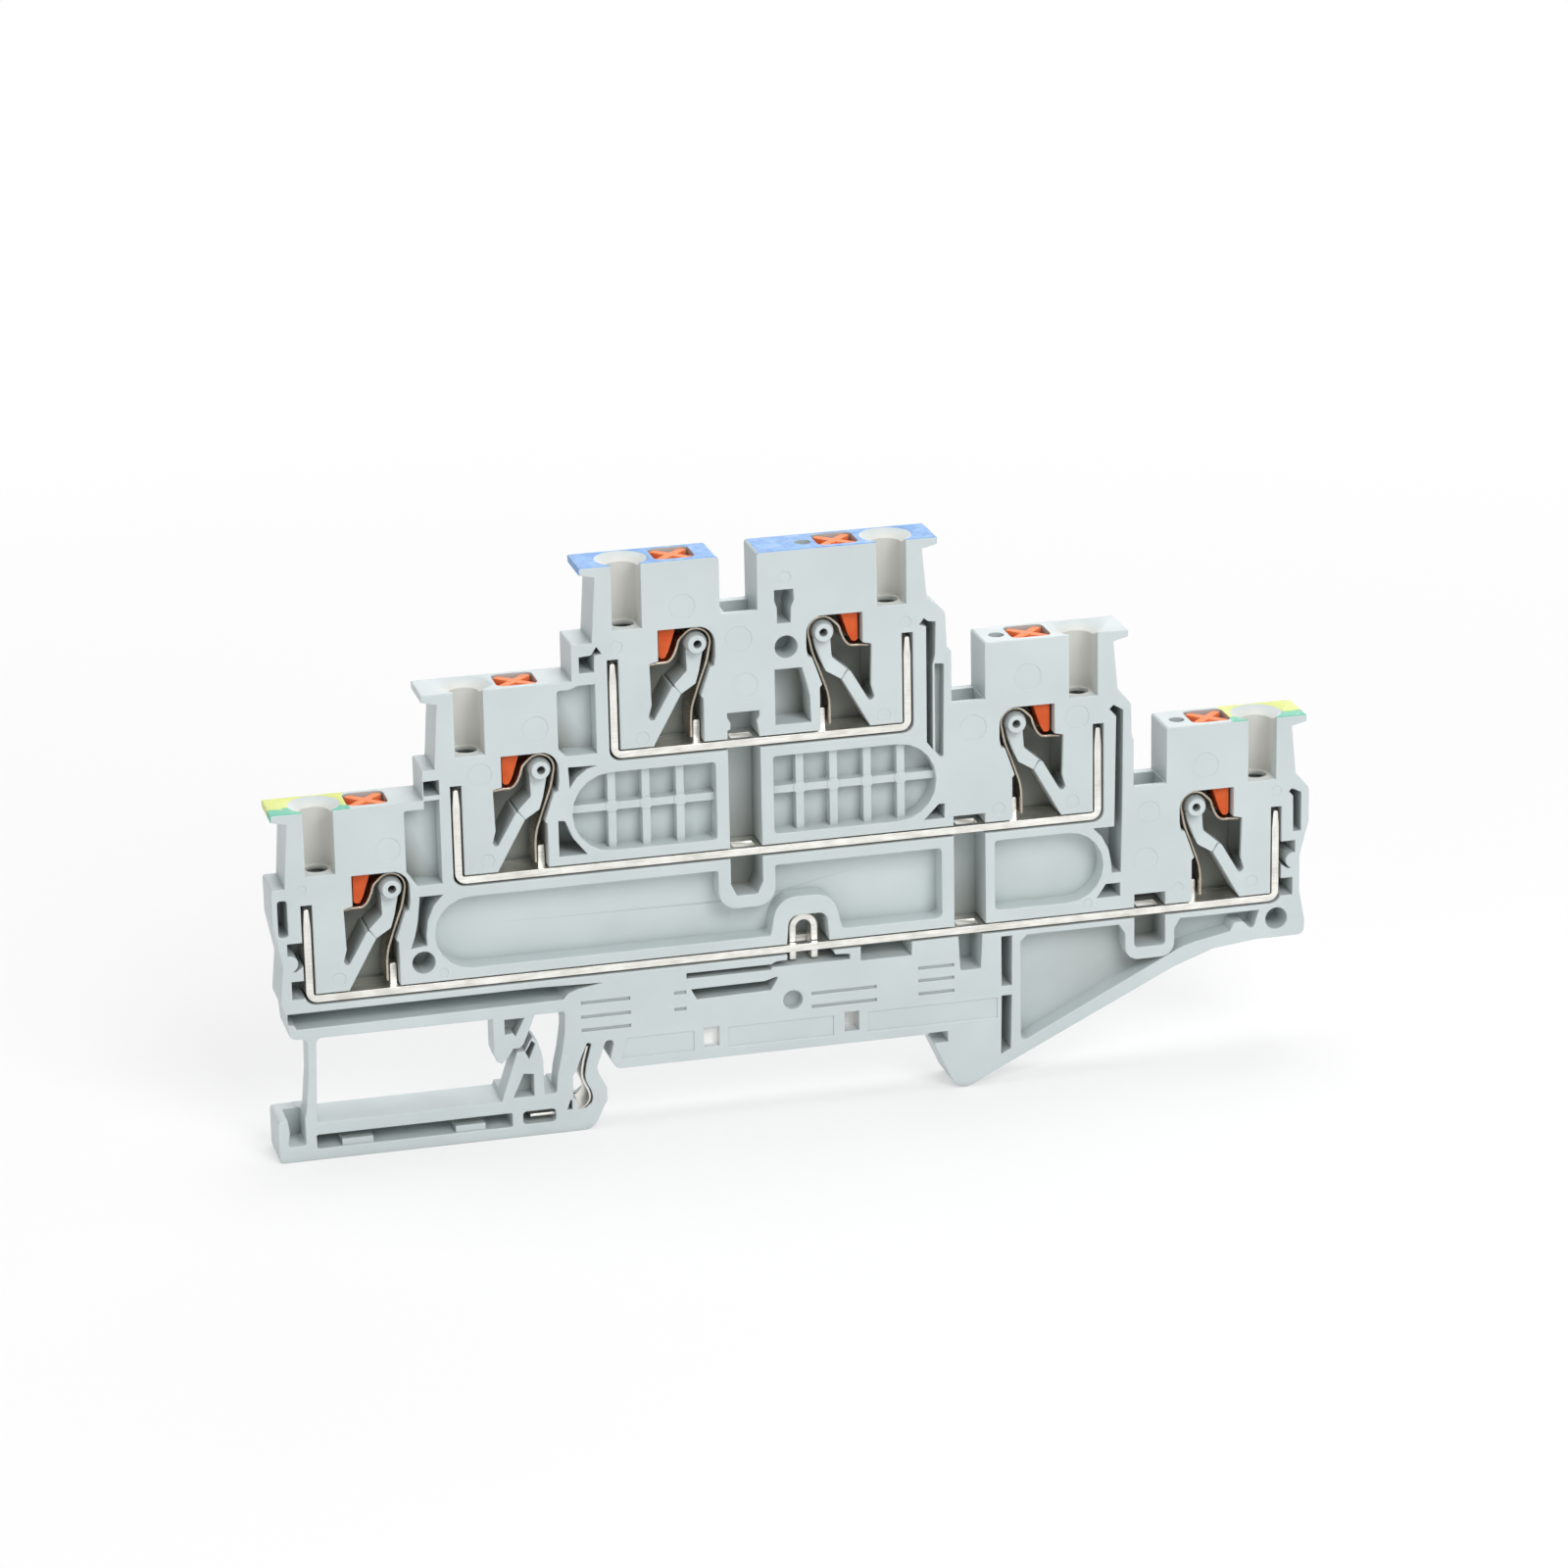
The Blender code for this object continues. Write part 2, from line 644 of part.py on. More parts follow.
def cut_ribbed_pocket(housing, left, right, first_rib, step, round_left):
    """Pocket between the upper and middle busbars, with a grid of ribs standing in it."""
    high = UPPER[0].bar_top - BAR_THICKNESS - WEB
    low = MIDDLE[0].bar_top + WEB
    radius = (high - low) / 2 - 0.05
    corner = 0.35
    left_radius, right_radius = (radius, corner) if round_left else (corner, radius)
    shape = [(left, low, left_radius), (right, low, right_radius),
             (right, high, right_radius), (left, high, left_radius)]
    pocket = prism("pocket", rounded(shape), -OVERCUT, POCKET_DEPTH, True)
    half = RIB_WIDTH / 2
    middle = (low + high) / 2 + RIB_ROW_RISE
    rows = [rounded(box(left - OVERCUT, right + OVERCUT, middle - half, middle + half))]
    combine(pocket, prisms("ribs", rows, RIB_RECESS, POCKET_DEPTH + OVERCUT), "DIFFERENCE")
    ribs = []
    x = first_rib
    while left + RIB_WIDTH < x < right - RIB_WIDTH:
        ribs.append(rounded(box(x - half, x + half, low - OVERCUT, high + OVERCUT)))
        x += step
    combine(pocket, prisms("ribs", ribs, RIB_RECESS, POCKET_DEPTH + OVERCUT), "DIFFERENCE")
    combine(housing, pocket, "DIFFERENCE")


def cut_plain_pockets(housing):
    """Light pockets between the middle and lower busbars, and the panels beside the towers."""
    high = MIDDLE[0].bar_top - BAR_THICKNESS - WEB
    low = LOWER[0].bar_top + WEB
    half = SHAFT_WIDTH / 2
    well_left = UPPER_SHAFT_X - half - WEB
    well_right = UPPER_SHAFT_X + half + WEB
    well_foot = low + 3.25
    radius = (high - low) / 2 - 0.05
    loop_x = (STAPLE_LEFT + STAPLE_RIGHT) / 2
    middle_wall = MIDDLE_SHAFT_X - half - WEB
    long_pocket = rounded([
        (-34.3, low, radius), (loop_x - 3.6, low, 0.3), (loop_x - 2.9, low + 3.9, 2.4),
        (loop_x + 2.9, low + 3.9, 2.4), (loop_x + 3.8, low, 0.3), (middle_wall, low, 0.6),
        (middle_wall, high, 0.4), (well_right, high, 0.2), (well_right, well_foot, 1.9),
        (well_left, well_foot, 1.9), (well_left, high, 0.2), (-34.3, high, radius),
    ])
    right_wall = MIDDLE_SHAFT_X + half + TROUGH_WALL
    right_pocket = rounded([
        (right_wall, low + 0.2, 0.4), (34.1, low + 0.2, radius), (34.1, high + 0.2, radius),
        (right_wall, high + 0.2, 0.4),
    ])
    upper_panel = rounded([
        (-21.4, 33.9, 0.3), (-20.7, 33.2, 0.3), (-17.6, 33.2), (-17.6, 40.25), (-19.3, 40.25), (-20.1, 39.9),
        (-21.4, 39.9, 0.3),
    ])
    lower_panel = rounded([
        (-36.9, 22.9, 0.3), (-35.9, 21.4, 0.3), (-33.4, 21.4), (-33.4, 30.0), (-34.9, 30.0), (-34.9, 29.15),
        (-36.9, 29.15, 0.2),
    ])
    cut(housing, [long_pocket, right_pocket, upper_panel, lower_panel], -OVERCUT, POCKET_DEPTH)
    side_panel = rounded([(16.7, 30.0), (17.5, 29.0, 0.2), (17.65, 39.0, 0.2), (16.7, 39.1)])
    cut(housing, [side_panel], -OVERCUT, SIDE_PANEL_DEPTH)


def boss_notch(clamp, out, up, radius, outer, high):
    """Outline of a side pocket that runs down past a round boss, outward and up from the ring."""
    inner = BAR_UPRIGHT + BAR_THICKNESS
    curve = [(out + px, up + pz) for px, pz in arc(0.0, 0.0, radius, math.radians(80), math.radians(250))]
    return rounded(clamp.path([(inner, high), (outer, high), (outer, up + radius)] + curve
                              + [(out - 0.6, up - radius), (inner, up - 0.2)]))


def cut_end_pockets(housing):
    """Narrow pockets and slots in the outer walls beside the clamps' busbar ends."""
    lower_left, lower_right = LOWER
    middle_left, middle_right = MIDDLE
    upper_left, upper_right = UPPER
    outlines = [
        rounded(upper_right.path([
            (9.75, -0.1), (10.2, 0.5), (10.65, 0.15), (11.4, 0.05), (11.3, -3.35), (11.05, -4.35),
            (11.0, -13.15), (10.4, -12.35), (10.45, -0.35)])),
        rounded(upper_left.path([
            (11.85, -1.85), (10.4, -1.85), (10.35, -0.15), (9.6, -0.05), (10.1, 0.65), (10.65, -0.15),
            (11.85, -0.25)])),
        rounded(middle_right.path([
            (9.7, 0.6), (10.1, 1.0), (11.1, 0.4), (11.0, -10.0), (10.85, -16.75), (9.95, -16.75),
            (9.9, -15.8), (9.6, -14.2), (8.9, -12.8), (8.0, -11.85), (10.2, -11.85), (10.4, -0.2)])),
        rounded(middle_left.path(box(10.15, 11.7, -1.5, 0.0))),
        rounded(lower_right.path([
            (9.85, 0.7, 0.1), (10.15, 1.0, 0.2), (11.15, 0.5, 0.2), (11.15, -3.6), (10.35, -3.6),
            (10.3, 0.2)])),
        rounded(lower_left.path(box(10.4, 11.35, -3.85, -0.1, 0.3))),
    ]
    for clamp in LOWER:
        outlines.append(boss_notch(clamp, 10.4, -6.7, 0.85, 10.55, -4.6))
        outlines.append(rounded(clamp.path(box(BAR_UPRIGHT + BAR_THICKNESS, 10.3, -10.4, -8.55))))
    cut(housing, outlines, -OVERCUT, SIDE_POCKET_DEPTH)


def cut_deep_pockets(housing):
    """Dark pockets, slots and holes that reach close to the back wall."""
    bar_low = LOWER[0].bar_top - BAR_THICKNESS
    slots = [
        [(-20.5, 32.0), (-20.4, 29.9), (-19.7, 30.9), (-18.6, 31.7), (-17.7, 31.95)],
        [(-21.65, 22.9), (-18.85, 22.9), (-20.2, 24.6), (-21.0, 26.5), (-21.65, 26.6)],
        [(15.5, 22.9), (17.55, 22.9), (17.6, 24.4), (17.0, 24.4)],
        [(33.45, 12.7), (35.9, 12.7), (35.9, 14.1), (34.4, 14.1)],
        [(-35.7, 20.2), (-33.4, 20.2), (-34.35, 19.2), (-35.0, 17.7), (-35.2, 16.2), (-35.15, 15.1),
         (-36.75, 14.9), (-36.3, 16.2), (-35.95, 17.8)],
        [(23.4, 4.35), (24.45, 4.35), (24.5, 9.65), (23.4, 9.65)],
        [(23.3, -3.0), (24.3, -2.5), (24.45, 3.3), (23.4, 3.3)],
        [(8.75, 8.7), (14.0, 8.7), (14.05, bar_low + 0.1), (8.75, bar_low + 0.1)],
        [(-9.2, 8.75), (-0.6, 8.75), (-0.4, 9.0), (7.6, 9.0), (7.6, 9.55), (6.1, 9.65), (5.8, bar_low + 0.1),
         (1.2, bar_low + 0.1), (1.15, 9.6), (0.0, 9.55), (-0.5, 9.3), (-9.2, 9.3)],
        [(-8.2, 6.45), (-0.6, 6.6), (0.15, 7.8), (0.0, 7.95), (-1.2, 7.6), (-8.75, 7.55)],
        [(-49.25, 9.4), (-49.3, 8.35), (-48.65, 8.2), (-48.4, 7.75), (-21.75, 7.95), (-21.2, 8.55),
         (-20.2, 8.9), (-17.8, 9.3), (-24.0, 9.45)],
    ]
    cut(housing, slots, -OVERCUT, SIDE_POCKET_DEPTH)
    left, right = STAPLE_LEFT - CLEARANCE, STAPLE_RIGHT + CLEARANCE
    high = STAPLE_TOP + CLEARANCE
    well = rounded([
        (left - 0.3, bar_low), (right + 0.8, bar_low), (right + 0.5, high, 0.9), (left, high, 1.1),
    ])
    cut(housing, [well], -OVERCUT, STAPLE_WELL_DEPTH)
    bores = [arc(x, z, BORE_RADIUS, 0, 2 * math.pi)[:-1]
             for x, z in ((1.65, 42.25), (52.55, 8.5), (-35.55, 13.35))]
    cut(housing, bores, -OVERCUT, BORE_DEPTH)
    cut(housing, [arc(1.65, 5.3, DIMPLE_RADIUS, 0, 2 * math.pi)[:-1]], -OVERCUT, DIMPLE_DEPTH)
    keyhole = [(0.8, 44.7), (2.15, 44.7), (2.2, 46.3), (2.5, 47.0), (2.45, 48.1), (0.55, 48.1), (0.55, 47.0),
               (0.8, 46.3)]
    hatch = [(0.45, 34.3), (4.05, 34.3), (3.95, 37.0), (3.6, 38.5), (3.2, 40.0), (0.45, 40.0)]
    cut(housing, [keyhole, hatch], -OVERCUT, HATCH_DEPTH)


def cut_wing_pocket(housing):
    """Sloping pocket in the wing right of the rail, round the trough under the lower shaft."""
    high = LOWER[0].bar_top - BAR_THICKNESS - BAR_SHELF
    half = SHAFT_WIDTH / 2 + TROUGH_WALL
    wing = prism("wing", rounded([
        (25.4, -1.9, 0.4), (42.8, 6.7, 8.0), (47.6, 7.6, 0.3), (48.0, 8.5, 0.3), (49.0, 8.55, 0.4),
        (50.0, 7.5, 0.3), (50.7, high), (26.1, high), (25.4, high - 0.7),
    ]), -OVERCUT, POCKET_DEPTH, True)
    trough = prism("trough wall", rounded([
        (LOWER_SHAFT_X - half, 5.65, 1.6), (LOWER_SHAFT_X + half, 5.65, 1.6),
        (LOWER_SHAFT_X + half, high - 1.0, 0.4), (LOWER_SHAFT_X + half + 0.8, high + 0.3),
        (LOWER_SHAFT_X - half - 0.8, high + 0.3), (LOWER_SHAFT_X - half, high - 1.0, 0.4),
    ]), -2 * OVERCUT, BLOCK_WIDTH, True)
    combine(wing, trough, "DIFFERENCE")
    combine(housing, wing, "DIFFERENCE")


def cut_grooves(housing):
    """Fine grooves and shallow panels on the base."""
    half = GROOVE_WIDTH / 2
    grooves = []
    for left, right, heights in ((-20.0, -15.0, (4.45, 5.85, 7.35)), (3.6, 10.3, (4.35, 5.75)),
                                 (-10.5, -9.3, (7.35, 5.6)), (14.7, 18.4, (4.45, 5.85, 7.2))):
        for height in heights:
            grooves.append(rounded(box(left, right, height - half, height + half)))
    cut(housing, grooves, -OVERCUT, GROOVE_DEPTH)
    panels = [
        rounded([(-16.0, PANEL_LOW), (-8.6, PANEL_LOW), (-8.6, PANEL_HIGH), (-15.4, PANEL_HIGH)]),
        rounded(box(-5.0, 5.8, PANEL_LOW, PANEL_HIGH)),
        rounded(box(9.4, 22.9, PANEL_LOW, PANEL_HIGH)),
    ]
    cut(housing, panels, -OVERCUT, PANEL_DEPTH)
    for left, right, depth in ((-7.55, -6.0, 1.1), (6.95, 8.45, 2.0)):
        cut(housing, [rounded(box(left, right, NICHE_LOW, NICHE_HIGH))], -OVERCUT, depth)


def cut_foot(housing):
    """Window, catch and snap brackets of the rail foot."""
    window = rounded([
        (-46.55, BODY_UNDERSIDE, 0.6), (-28.95, BODY_UNDERSIDE), (-28.95, 3.0), (-28.65, 2.15), (-28.2, 1.85),
        (-27.6, 2.3), (-26.95, 3.3), (-26.3, 3.3), (-25.9, 3.7), (-25.3, 5.1), (-24.7, BODY_UNDERSIDE),
        (-21.65, BODY_UNDERSIDE, 0.3), (-21.75, 4.5), (-22.1, 2.2), (-22.55, 0.2),
        (-22.75, FOOT_TOP + 0.3, 0.3), (-23.95, FOOT_TOP + 0.3), (-24.0, 1.6), (-24.15, 2.7), (-24.5, 3.8),
        (-25.0, 4.35), (-25.4, 3.8), (-25.8, 2.95), (-26.6, 2.95), (-28.3, FOOT_TOP), (-46.85, FOOT_TOP),
    ])
    cut(housing, [window], -OVERCUT, BLOCK_WIDTH + OVERCUT)
    legs = [(-49.2, FOOT_TOP + 0.5), (-21.2, FOOT_TOP + 0.5), (-21.2, 4.0), (-21.6, BODY_UNDERSIDE),
            (-48.9, BODY_UNDERSIDE)]
    cut(housing, [legs], FOOT_DEPTH, BLOCK_WIDTH + OVERCUT)
    blade_way = rounded([
        (-21.05, -2.65), (-20.7, -2.8), (-20.65, -3.85), (-19.75, -3.8), (-19.2, -3.35), (-19.05, -2.8),
        (-19.2, -2.05), (-19.7, -1.05), (-19.8, -0.3), (-19.6, 0.9), (-19.05, 2.95, 0.15), (-19.5, 3.1, 0.15),
        (-20.3, 1.2), (-20.6, 0.4), (-21.05, -0.3),
    ])
    cut(housing, [blade_way], -OVERCUT, BLOCK_WIDTH + OVERCUT)
    seat = strip_outline(BLADE_PATH, BLADE_THICKNESS + 2 * CLEARANCE, CLEARANCE)
    cut(housing, [seat], BLADE_FRONT - CLEARANCE, BLADE_BACK + CLEARANCE)
    slot = rounded(box(-46.95, -27.3, -4.95, -3.5, 0.2))
    latch_window = rounded(box(-26.2, -22.9, -4.85, -3.5, 0.35))
    finger = rounded([(-49.85, -4.5, 0.3), (-48.05, -4.5, 0.3), (-48.05, 0.5), (-50.1, 0.5), (-49.6, -3.0)])
    cut(housing, [slot, latch_window, finger], -OVERCUT, POCKET_DEPTH + 1.1)
    triangles = [
        rounded([(-27.75, 4.85), (-27.0, 5.0), (-26.7, 4.6), (-25.75, 6.45), (-27.75, 6.45)]),
        rounded([(-27.1, -1.9), (-25.0, -1.9), (-25.0, 0.4), (-26.0, 0.55)]),
        rounded([(-25.4, 2.05), (-24.75, 3.6), (-25.1, 3.95), (-25.75, 2.8)]),
        rounded([(-21.7, -3.8), (-21.35, -2.8), (-21.2, -2.8), (-21.2, -3.8)]),
    ]
    cut(housing, triangles, -OVERCUT, FOOT_DEPTH - 0.7)
    bridges = [box(-44.4, -41.3, -5.2, -4.3), box(-33.0, -30.0, -5.2, -4.3)]
    for corners in bridges:
        combine(housing, prism("bridge", rounded(corners), 0.3, 3.6, True), "UNION")


def make_housing():
    """The moulded housing with its rail foot."""
    bm = bmesh.new()
    add_prism(bm, housing_outline(), 0.0, BLOCK_WIDTH)
    housing = finish(bm, "housing")
    cut_bar_slots(housing)
    cut_windows(housing)
    cut_wire_ways(housing)
    cut_probe_holes(housing)
    cut_jumper_shafts(housing)
    left_wall = UPPER_SHAFT_X - SHAFT_WIDTH / 2 - WEB
    right_wall = UPPER_SHAFT_X + SHAFT_WIDTH / 2 + WEB
    cut_ribbed_pocket(housing, -20.2, left_wall, left_wall - RIB_PITCH, -RIB_PITCH, True)
    cut_ribbed_pocket(housing, right_wall, 16.75, right_wall + RIB_START, RIB_PITCH, False)
    cut_plain_pockets(housing)
    cut_end_pockets(housing)
    cut_deep_pockets(housing)
    cut_wing_pocket(housing)
    cut_grooves(housing)
    cut_foot(housing)
    return dress(housing, "housing", (0.62, 0.68, 0.69), 0.45)


def spring_path():
    """Middle line of a clamp spring, outward and up from the ring."""
    leg = [(0.68, -BAR_DROP + 0.6), (0.66, -7.6), (0.5, -6.4), (0.15, -5.3), (-0.4, -3.75), (-1.0, -2.1)]
    loop = arc(LOOP_OUT, LOOP_UP, LOOP_RADIUS, math.radians(200), math.radians(35))
    bend = [(1.7, 0.35), (1.95, -0.4), (2.25, -1.1), (2.6, -1.55), (3.05, SHELF_HEIGHT)]
    shelf = [(4.2, SHELF_HEIGHT - 0.05), (SHELF_TIP, SHELF_HEIGHT - 0.6)]
    return leg + loop + bend + shelf


def make_springs():
    """One clamp spring for each clamp."""
    for clamp in CLAMPS:
        path = [clamp.at(*point) for point in spring_path()]
        item = prism("spring", strip_outline(path, SPRING_THICKNESS), SPRING_FRONT, SPRING_BACK)
        dress(item, f"clamp_spring_{clamp.name}", (0.72, 0.66, 0.58), 0.3, 1.0)


def make_buttons():
    """One push button for each clamp: a head with a raised cross and a stem onto the spring."""
    for clamp in CLAMPS:
        x, top = clamp.at(BUTTON_AXIS, TOWER_TOP - BUTTON_SINK)
        head = bmesh.new()
        add_upright(head, button_plan(clamp), clamp.ring_z + BUTTON_HEAD_FOOT, top)
        button = finish(head, "button")
        root = BUTTON_HEAD_FOOT + 0.5
        stem = rounded(clamp.path([
            (STEM_OUTER, root), (STEM_OUTER, STEM_TIP, 0.3), (3.1, STEM_TIP, 0.2), (2.75, -0.75), (2.4, 0.3),
            (STEM_INNER, 1.4), (STEM_INNER - 0.3, root),
        ]))
        combine(button, prism("stem", stem, STEM_FRONT, STEM_BACK), "UNION")
        for quarter in range(4):
            combine(button, hollow_cutter(x, top, quarter * math.pi / 2), "DIFFERENCE")
        dress(button, f"push_button_{clamp.name}", (0.78, 0.16, 0.03), 0.4)


def hollow_cutter(x, top, turn):
    """Cutter for one of the four hollows that leave a raised cross in a button's head."""
    depth = (BUTTON_FRONT + BUTTON_BACK) / 2
    near = BUTTON_ARM_HALF * math.sqrt(2)
    far = BUTTON_HALF_WIDTH + BUTTON_ARM_HALF
    plan = []
    for along, across in ((near, 0.0), (far, near - far), (far, far - near)):
        plan.append((x + along * math.cos(turn) - across * math.sin(turn),
                     depth + along * math.sin(turn) + across * math.cos(turn)))
    hollow = bmesh.new()
    add_upright(hollow, plan, top - BUTTON_HOLLOW_DEPTH, top + OVERCUT)
    return finish(hollow, "hollow", True)


def make_busbar(name, left, right, shafts):
    """U-shaped busbar of one level, with its tabs and its jumper holes."""
    top = left.bar_top
    low = top - BAR_THICKNESS
    end = left.ring_z + BAR_UPRIGHT_TOP
    left_in, left_out = left.at(BAR_UPRIGHT, 0)[0], left.at(BAR_UPRIGHT + BAR_THICKNESS, 0)[0]
    right_in, right_out = right.at(BAR_UPRIGHT, 0)[0], right.at(BAR_UPRIGHT + BAR_THICKNESS, 0)[0]
    bend = BAR_BEND_RADIUS
    tip, taper = end - BAR_TIP_LENGTH, BAR_TIP_TAPER
    outline = rounded([
        (left_out, low, bend), (right_out, low, bend), (right_out, tip), (right_out - taper, end, 0.15),
        (right_in + taper, end, 0.15), (right_in, tip), (right_in, top, 0.25), (left_in, top, 0.25),
        (left_in, tip), (left_in - taper, end, 0.15), (left_out + taper, end, 0.15), (left_out, tip),
    ])
    bar = prism(name, outline, BAR_FRONT, BAR_BACK)
    for clamp in (left, right):
        x = clamp.ring_x
        tab = box(x - BAR_TAB_HALF, x + BAR_TAB_HALF, top - BAR_THICKNESS / 2, top + BAR_TAB_HEIGHT, 0.15)
        combine(bar, prism("tab", rounded(tab), BAR_TAB_FRONT, BAR_TAB_BACK), "UNION")
    half = BAR_HOLE_WIDTH / 2
    holes = [rounded(box(x - half, x + half, low - OVERCUT, top + OVERCUT)) for x in shafts]
    cut(bar, holes, BAR_HOLE_FRONT, BAR_HOLE_BACK)
    return dress(bar, name, (0.86, 0.84, 0.78), 0.3, 1.0)


def make_busbars():
    """The three busbars, one to a level."""
    make_busbar("busbar_upper", *UPPER, [UPPER_SHAFT_X])
    make_busbar("busbar_middle", *MIDDLE, [UPPER_SHAFT_X, MIDDLE_SHAFT_X])
    lowest = make_busbar("busbar_lower", *LOWER, [MIDDLE_SHAFT_X, LOWER_SHAFT_X])
    left, right = STAPLE_LEFT - CLEARANCE, STAPLE_RIGHT + CLEARANCE
    top = LOWER[0].bar_top
    opening = rounded(box(left, right, top - BAR_THICKNESS - OVERCUT, top + OVERCUT))
    cut(lowest, [opening], STAPLE_FRONT - CLEARANCE, STAPLE_BACK + CLEARANCE)


def make_staple():
    """Staple that stands in the lowest busbar, its round back up."""
    radius = (STAPLE_RIGHT - STAPLE_LEFT) / 2
    inner = radius - STAPLE_THICKNESS
    cx = (STAPLE_LEFT + STAPLE_RIGHT) / 2
    cz = STAPLE_TOP - radius
    outline = [(STAPLE_LEFT, STAPLE_FOOT)] + arc(cx, cz, radius, math.pi, 0)
    outline += [(STAPLE_RIGHT, STAPLE_FOOT), (STAPLE_RIGHT - STAPLE_THICKNESS, STAPLE_FOOT)]
    outline += arc(cx, cz, inner, 0, math.pi)
    outline += [(STAPLE_LEFT + STAPLE_THICKNESS, STAPLE_FOOT)]
    staple = prism("staple", outline, STAPLE_FRONT, STAPLE_BACK)
    dress(staple, "staple_contact", (0.86, 0.85, 0.8), 0.28, 1.0)


def make_catch_spring():
    """Blade spring in the catch of the rail foot."""
    blade = prism("blade", strip_outline(BLADE_PATH, BLADE_THICKNESS), BLADE_FRONT, BLADE_BACK)
    dress(blade, "catch_spring", (0.8, 0.8, 0.76), 0.3, 1.0)


def clear_scene():
    """Remove every object that the file starts with."""
    for item in list(bpy.data.objects):
        bpy.data.objects.remove(item)


def main():
    """Build every piece."""
    clear_scene()
    make_housing()
    make_springs()
    make_buttons()
    make_busbars()
    make_staple()
    make_catch_spring()


main()
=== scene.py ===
"""Looks of a three level terminal block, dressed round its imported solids.

The block stands upright on a white studio floor with its open front towards the
camera. Sizes in the classes are millimetres; every mesh is written in metres in
the frame's own axes: X along the block, Y through its thickness, Z up. Depth is
measured from the open front into the block.
"""

from __future__ import annotations

import logging
import math
from dataclasses import dataclass
from enum import Enum
from typing import Any, ClassVar

import bmesh
import bpy
import numpy as np
from bpy.types import ID, Material, Mesh, Node, NodeSocket, NodeTree, Object
from mathutils import Matrix, Vector
from mathutils.geometry import delaunay_2d_cdt


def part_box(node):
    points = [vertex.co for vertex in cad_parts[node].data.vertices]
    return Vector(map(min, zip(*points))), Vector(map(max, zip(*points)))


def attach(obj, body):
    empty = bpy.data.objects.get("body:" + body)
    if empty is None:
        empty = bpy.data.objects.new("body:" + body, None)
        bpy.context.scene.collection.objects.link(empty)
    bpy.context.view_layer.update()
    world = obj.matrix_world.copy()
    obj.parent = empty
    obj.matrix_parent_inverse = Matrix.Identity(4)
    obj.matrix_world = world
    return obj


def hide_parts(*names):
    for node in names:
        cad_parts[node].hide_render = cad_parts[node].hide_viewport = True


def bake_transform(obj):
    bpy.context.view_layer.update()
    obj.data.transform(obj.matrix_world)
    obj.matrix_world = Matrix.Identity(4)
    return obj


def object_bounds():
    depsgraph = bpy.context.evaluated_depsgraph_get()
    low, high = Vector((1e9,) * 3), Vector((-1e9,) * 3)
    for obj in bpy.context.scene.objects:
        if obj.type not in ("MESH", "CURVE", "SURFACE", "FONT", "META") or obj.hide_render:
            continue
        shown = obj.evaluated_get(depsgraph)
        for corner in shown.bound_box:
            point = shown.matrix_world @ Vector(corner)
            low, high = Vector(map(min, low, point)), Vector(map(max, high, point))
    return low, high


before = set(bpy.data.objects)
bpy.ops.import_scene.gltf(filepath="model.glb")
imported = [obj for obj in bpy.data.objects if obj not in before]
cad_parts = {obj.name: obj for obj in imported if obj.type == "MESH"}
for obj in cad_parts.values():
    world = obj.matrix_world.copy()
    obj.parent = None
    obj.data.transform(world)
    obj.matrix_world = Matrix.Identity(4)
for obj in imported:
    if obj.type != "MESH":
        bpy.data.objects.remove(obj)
CAD_BOX = [list(corner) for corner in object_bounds()]

Array = np.ndarray
Pair = tuple[float, float]
Pairs = tuple[Pair, ...]
Triple = tuple[float, float, float]
Quad = tuple[float, float, float, float]

MM = 0.001
FRONT = CAD_BOX[0][1] / MM
QUARTER_TURN = 0.5 * math.pi
FULL_TURN = 2.0 * math.pi
WHITE = (1.0, 1.0, 1.0, 1.0)
# Settings of a Mix node for colours, and the number of its result
COLOURS = {"data_type": "RGBA", "out": 2}
LOG = logging.getLogger("terminal_block")

# Copied and swept pieces keep edges that turn more than these angles crisp
CRISP_ANGLE = 30.0
SWEPT_ANGLE = 50.0
# Edges that turn more than this angle get a live bevel
BEVEL_ANGLE = 35.0
BEVEL_STEPS = 2


class Level(Enum):
    """The three levels of clamps, from the rail up."""

    LOWER = "lower"
    MIDDLE = "middle"
    UPPER = "upper"


class Side(Enum):
    """The end of the block that a clamp's wire comes from."""

    LEFT = -1
    RIGHT = 1


def linear(code: str) -> Quad:
    """Turn an sRGB hex colour into a linear one.

    Args:
        code: Colour as six hex digits after a hash sign.

    Returns:
        Linear red, green, blue and an alpha of one.
    """
    parts = np.array([int(code[i:i + 2], 16) for i in (1, 3, 5)]) / 255.0
    low = parts / 12.92
    high = ((parts + 0.055) / 1.055) ** 2.4
    red, green, blue = np.where(parts <= 0.04045, low, high)
    return float(red), float(green), float(blue), 1.0


def set_inputs(tree: NodeTree, node: Node, inputs: dict[Any, Any]) -> None:
    """Give a node's inputs their values and links.

    Args:
        tree: Node tree of the node.
        node: Node whose inputs are set.
        inputs: Value or output socket for each input, by name or number.
    """
    for key, value in inputs.items():
        if isinstance(value, NodeSocket):
            tree.links.new(value, node.inputs[key])
        else:
            node.inputs[key].default_value = value


def add_node(tree: NodeTree, kind: str, inputs: dict[Any, Any] | None = None,
             out: int | str = 0, **settings: Any) -> NodeSocket:
    """Add a shader node with its settings, its input values and its links.

    Args:
        tree: Node tree that gets the node.
        kind: Blender's name of the node type, without ShaderNode before it.
        inputs: Value or output socket for each input, by name or number.
        out: Output that is given back, by name or number.
        settings: Attributes of the node itself.

    Returns:
        The node's output socket.
    """
    node = tree.nodes.new("ShaderNode" + kind)
    for name, value in settings.items():
        setattr(node, name, value)
    set_inputs(tree, node, inputs or {})
    return node.outputs[out]


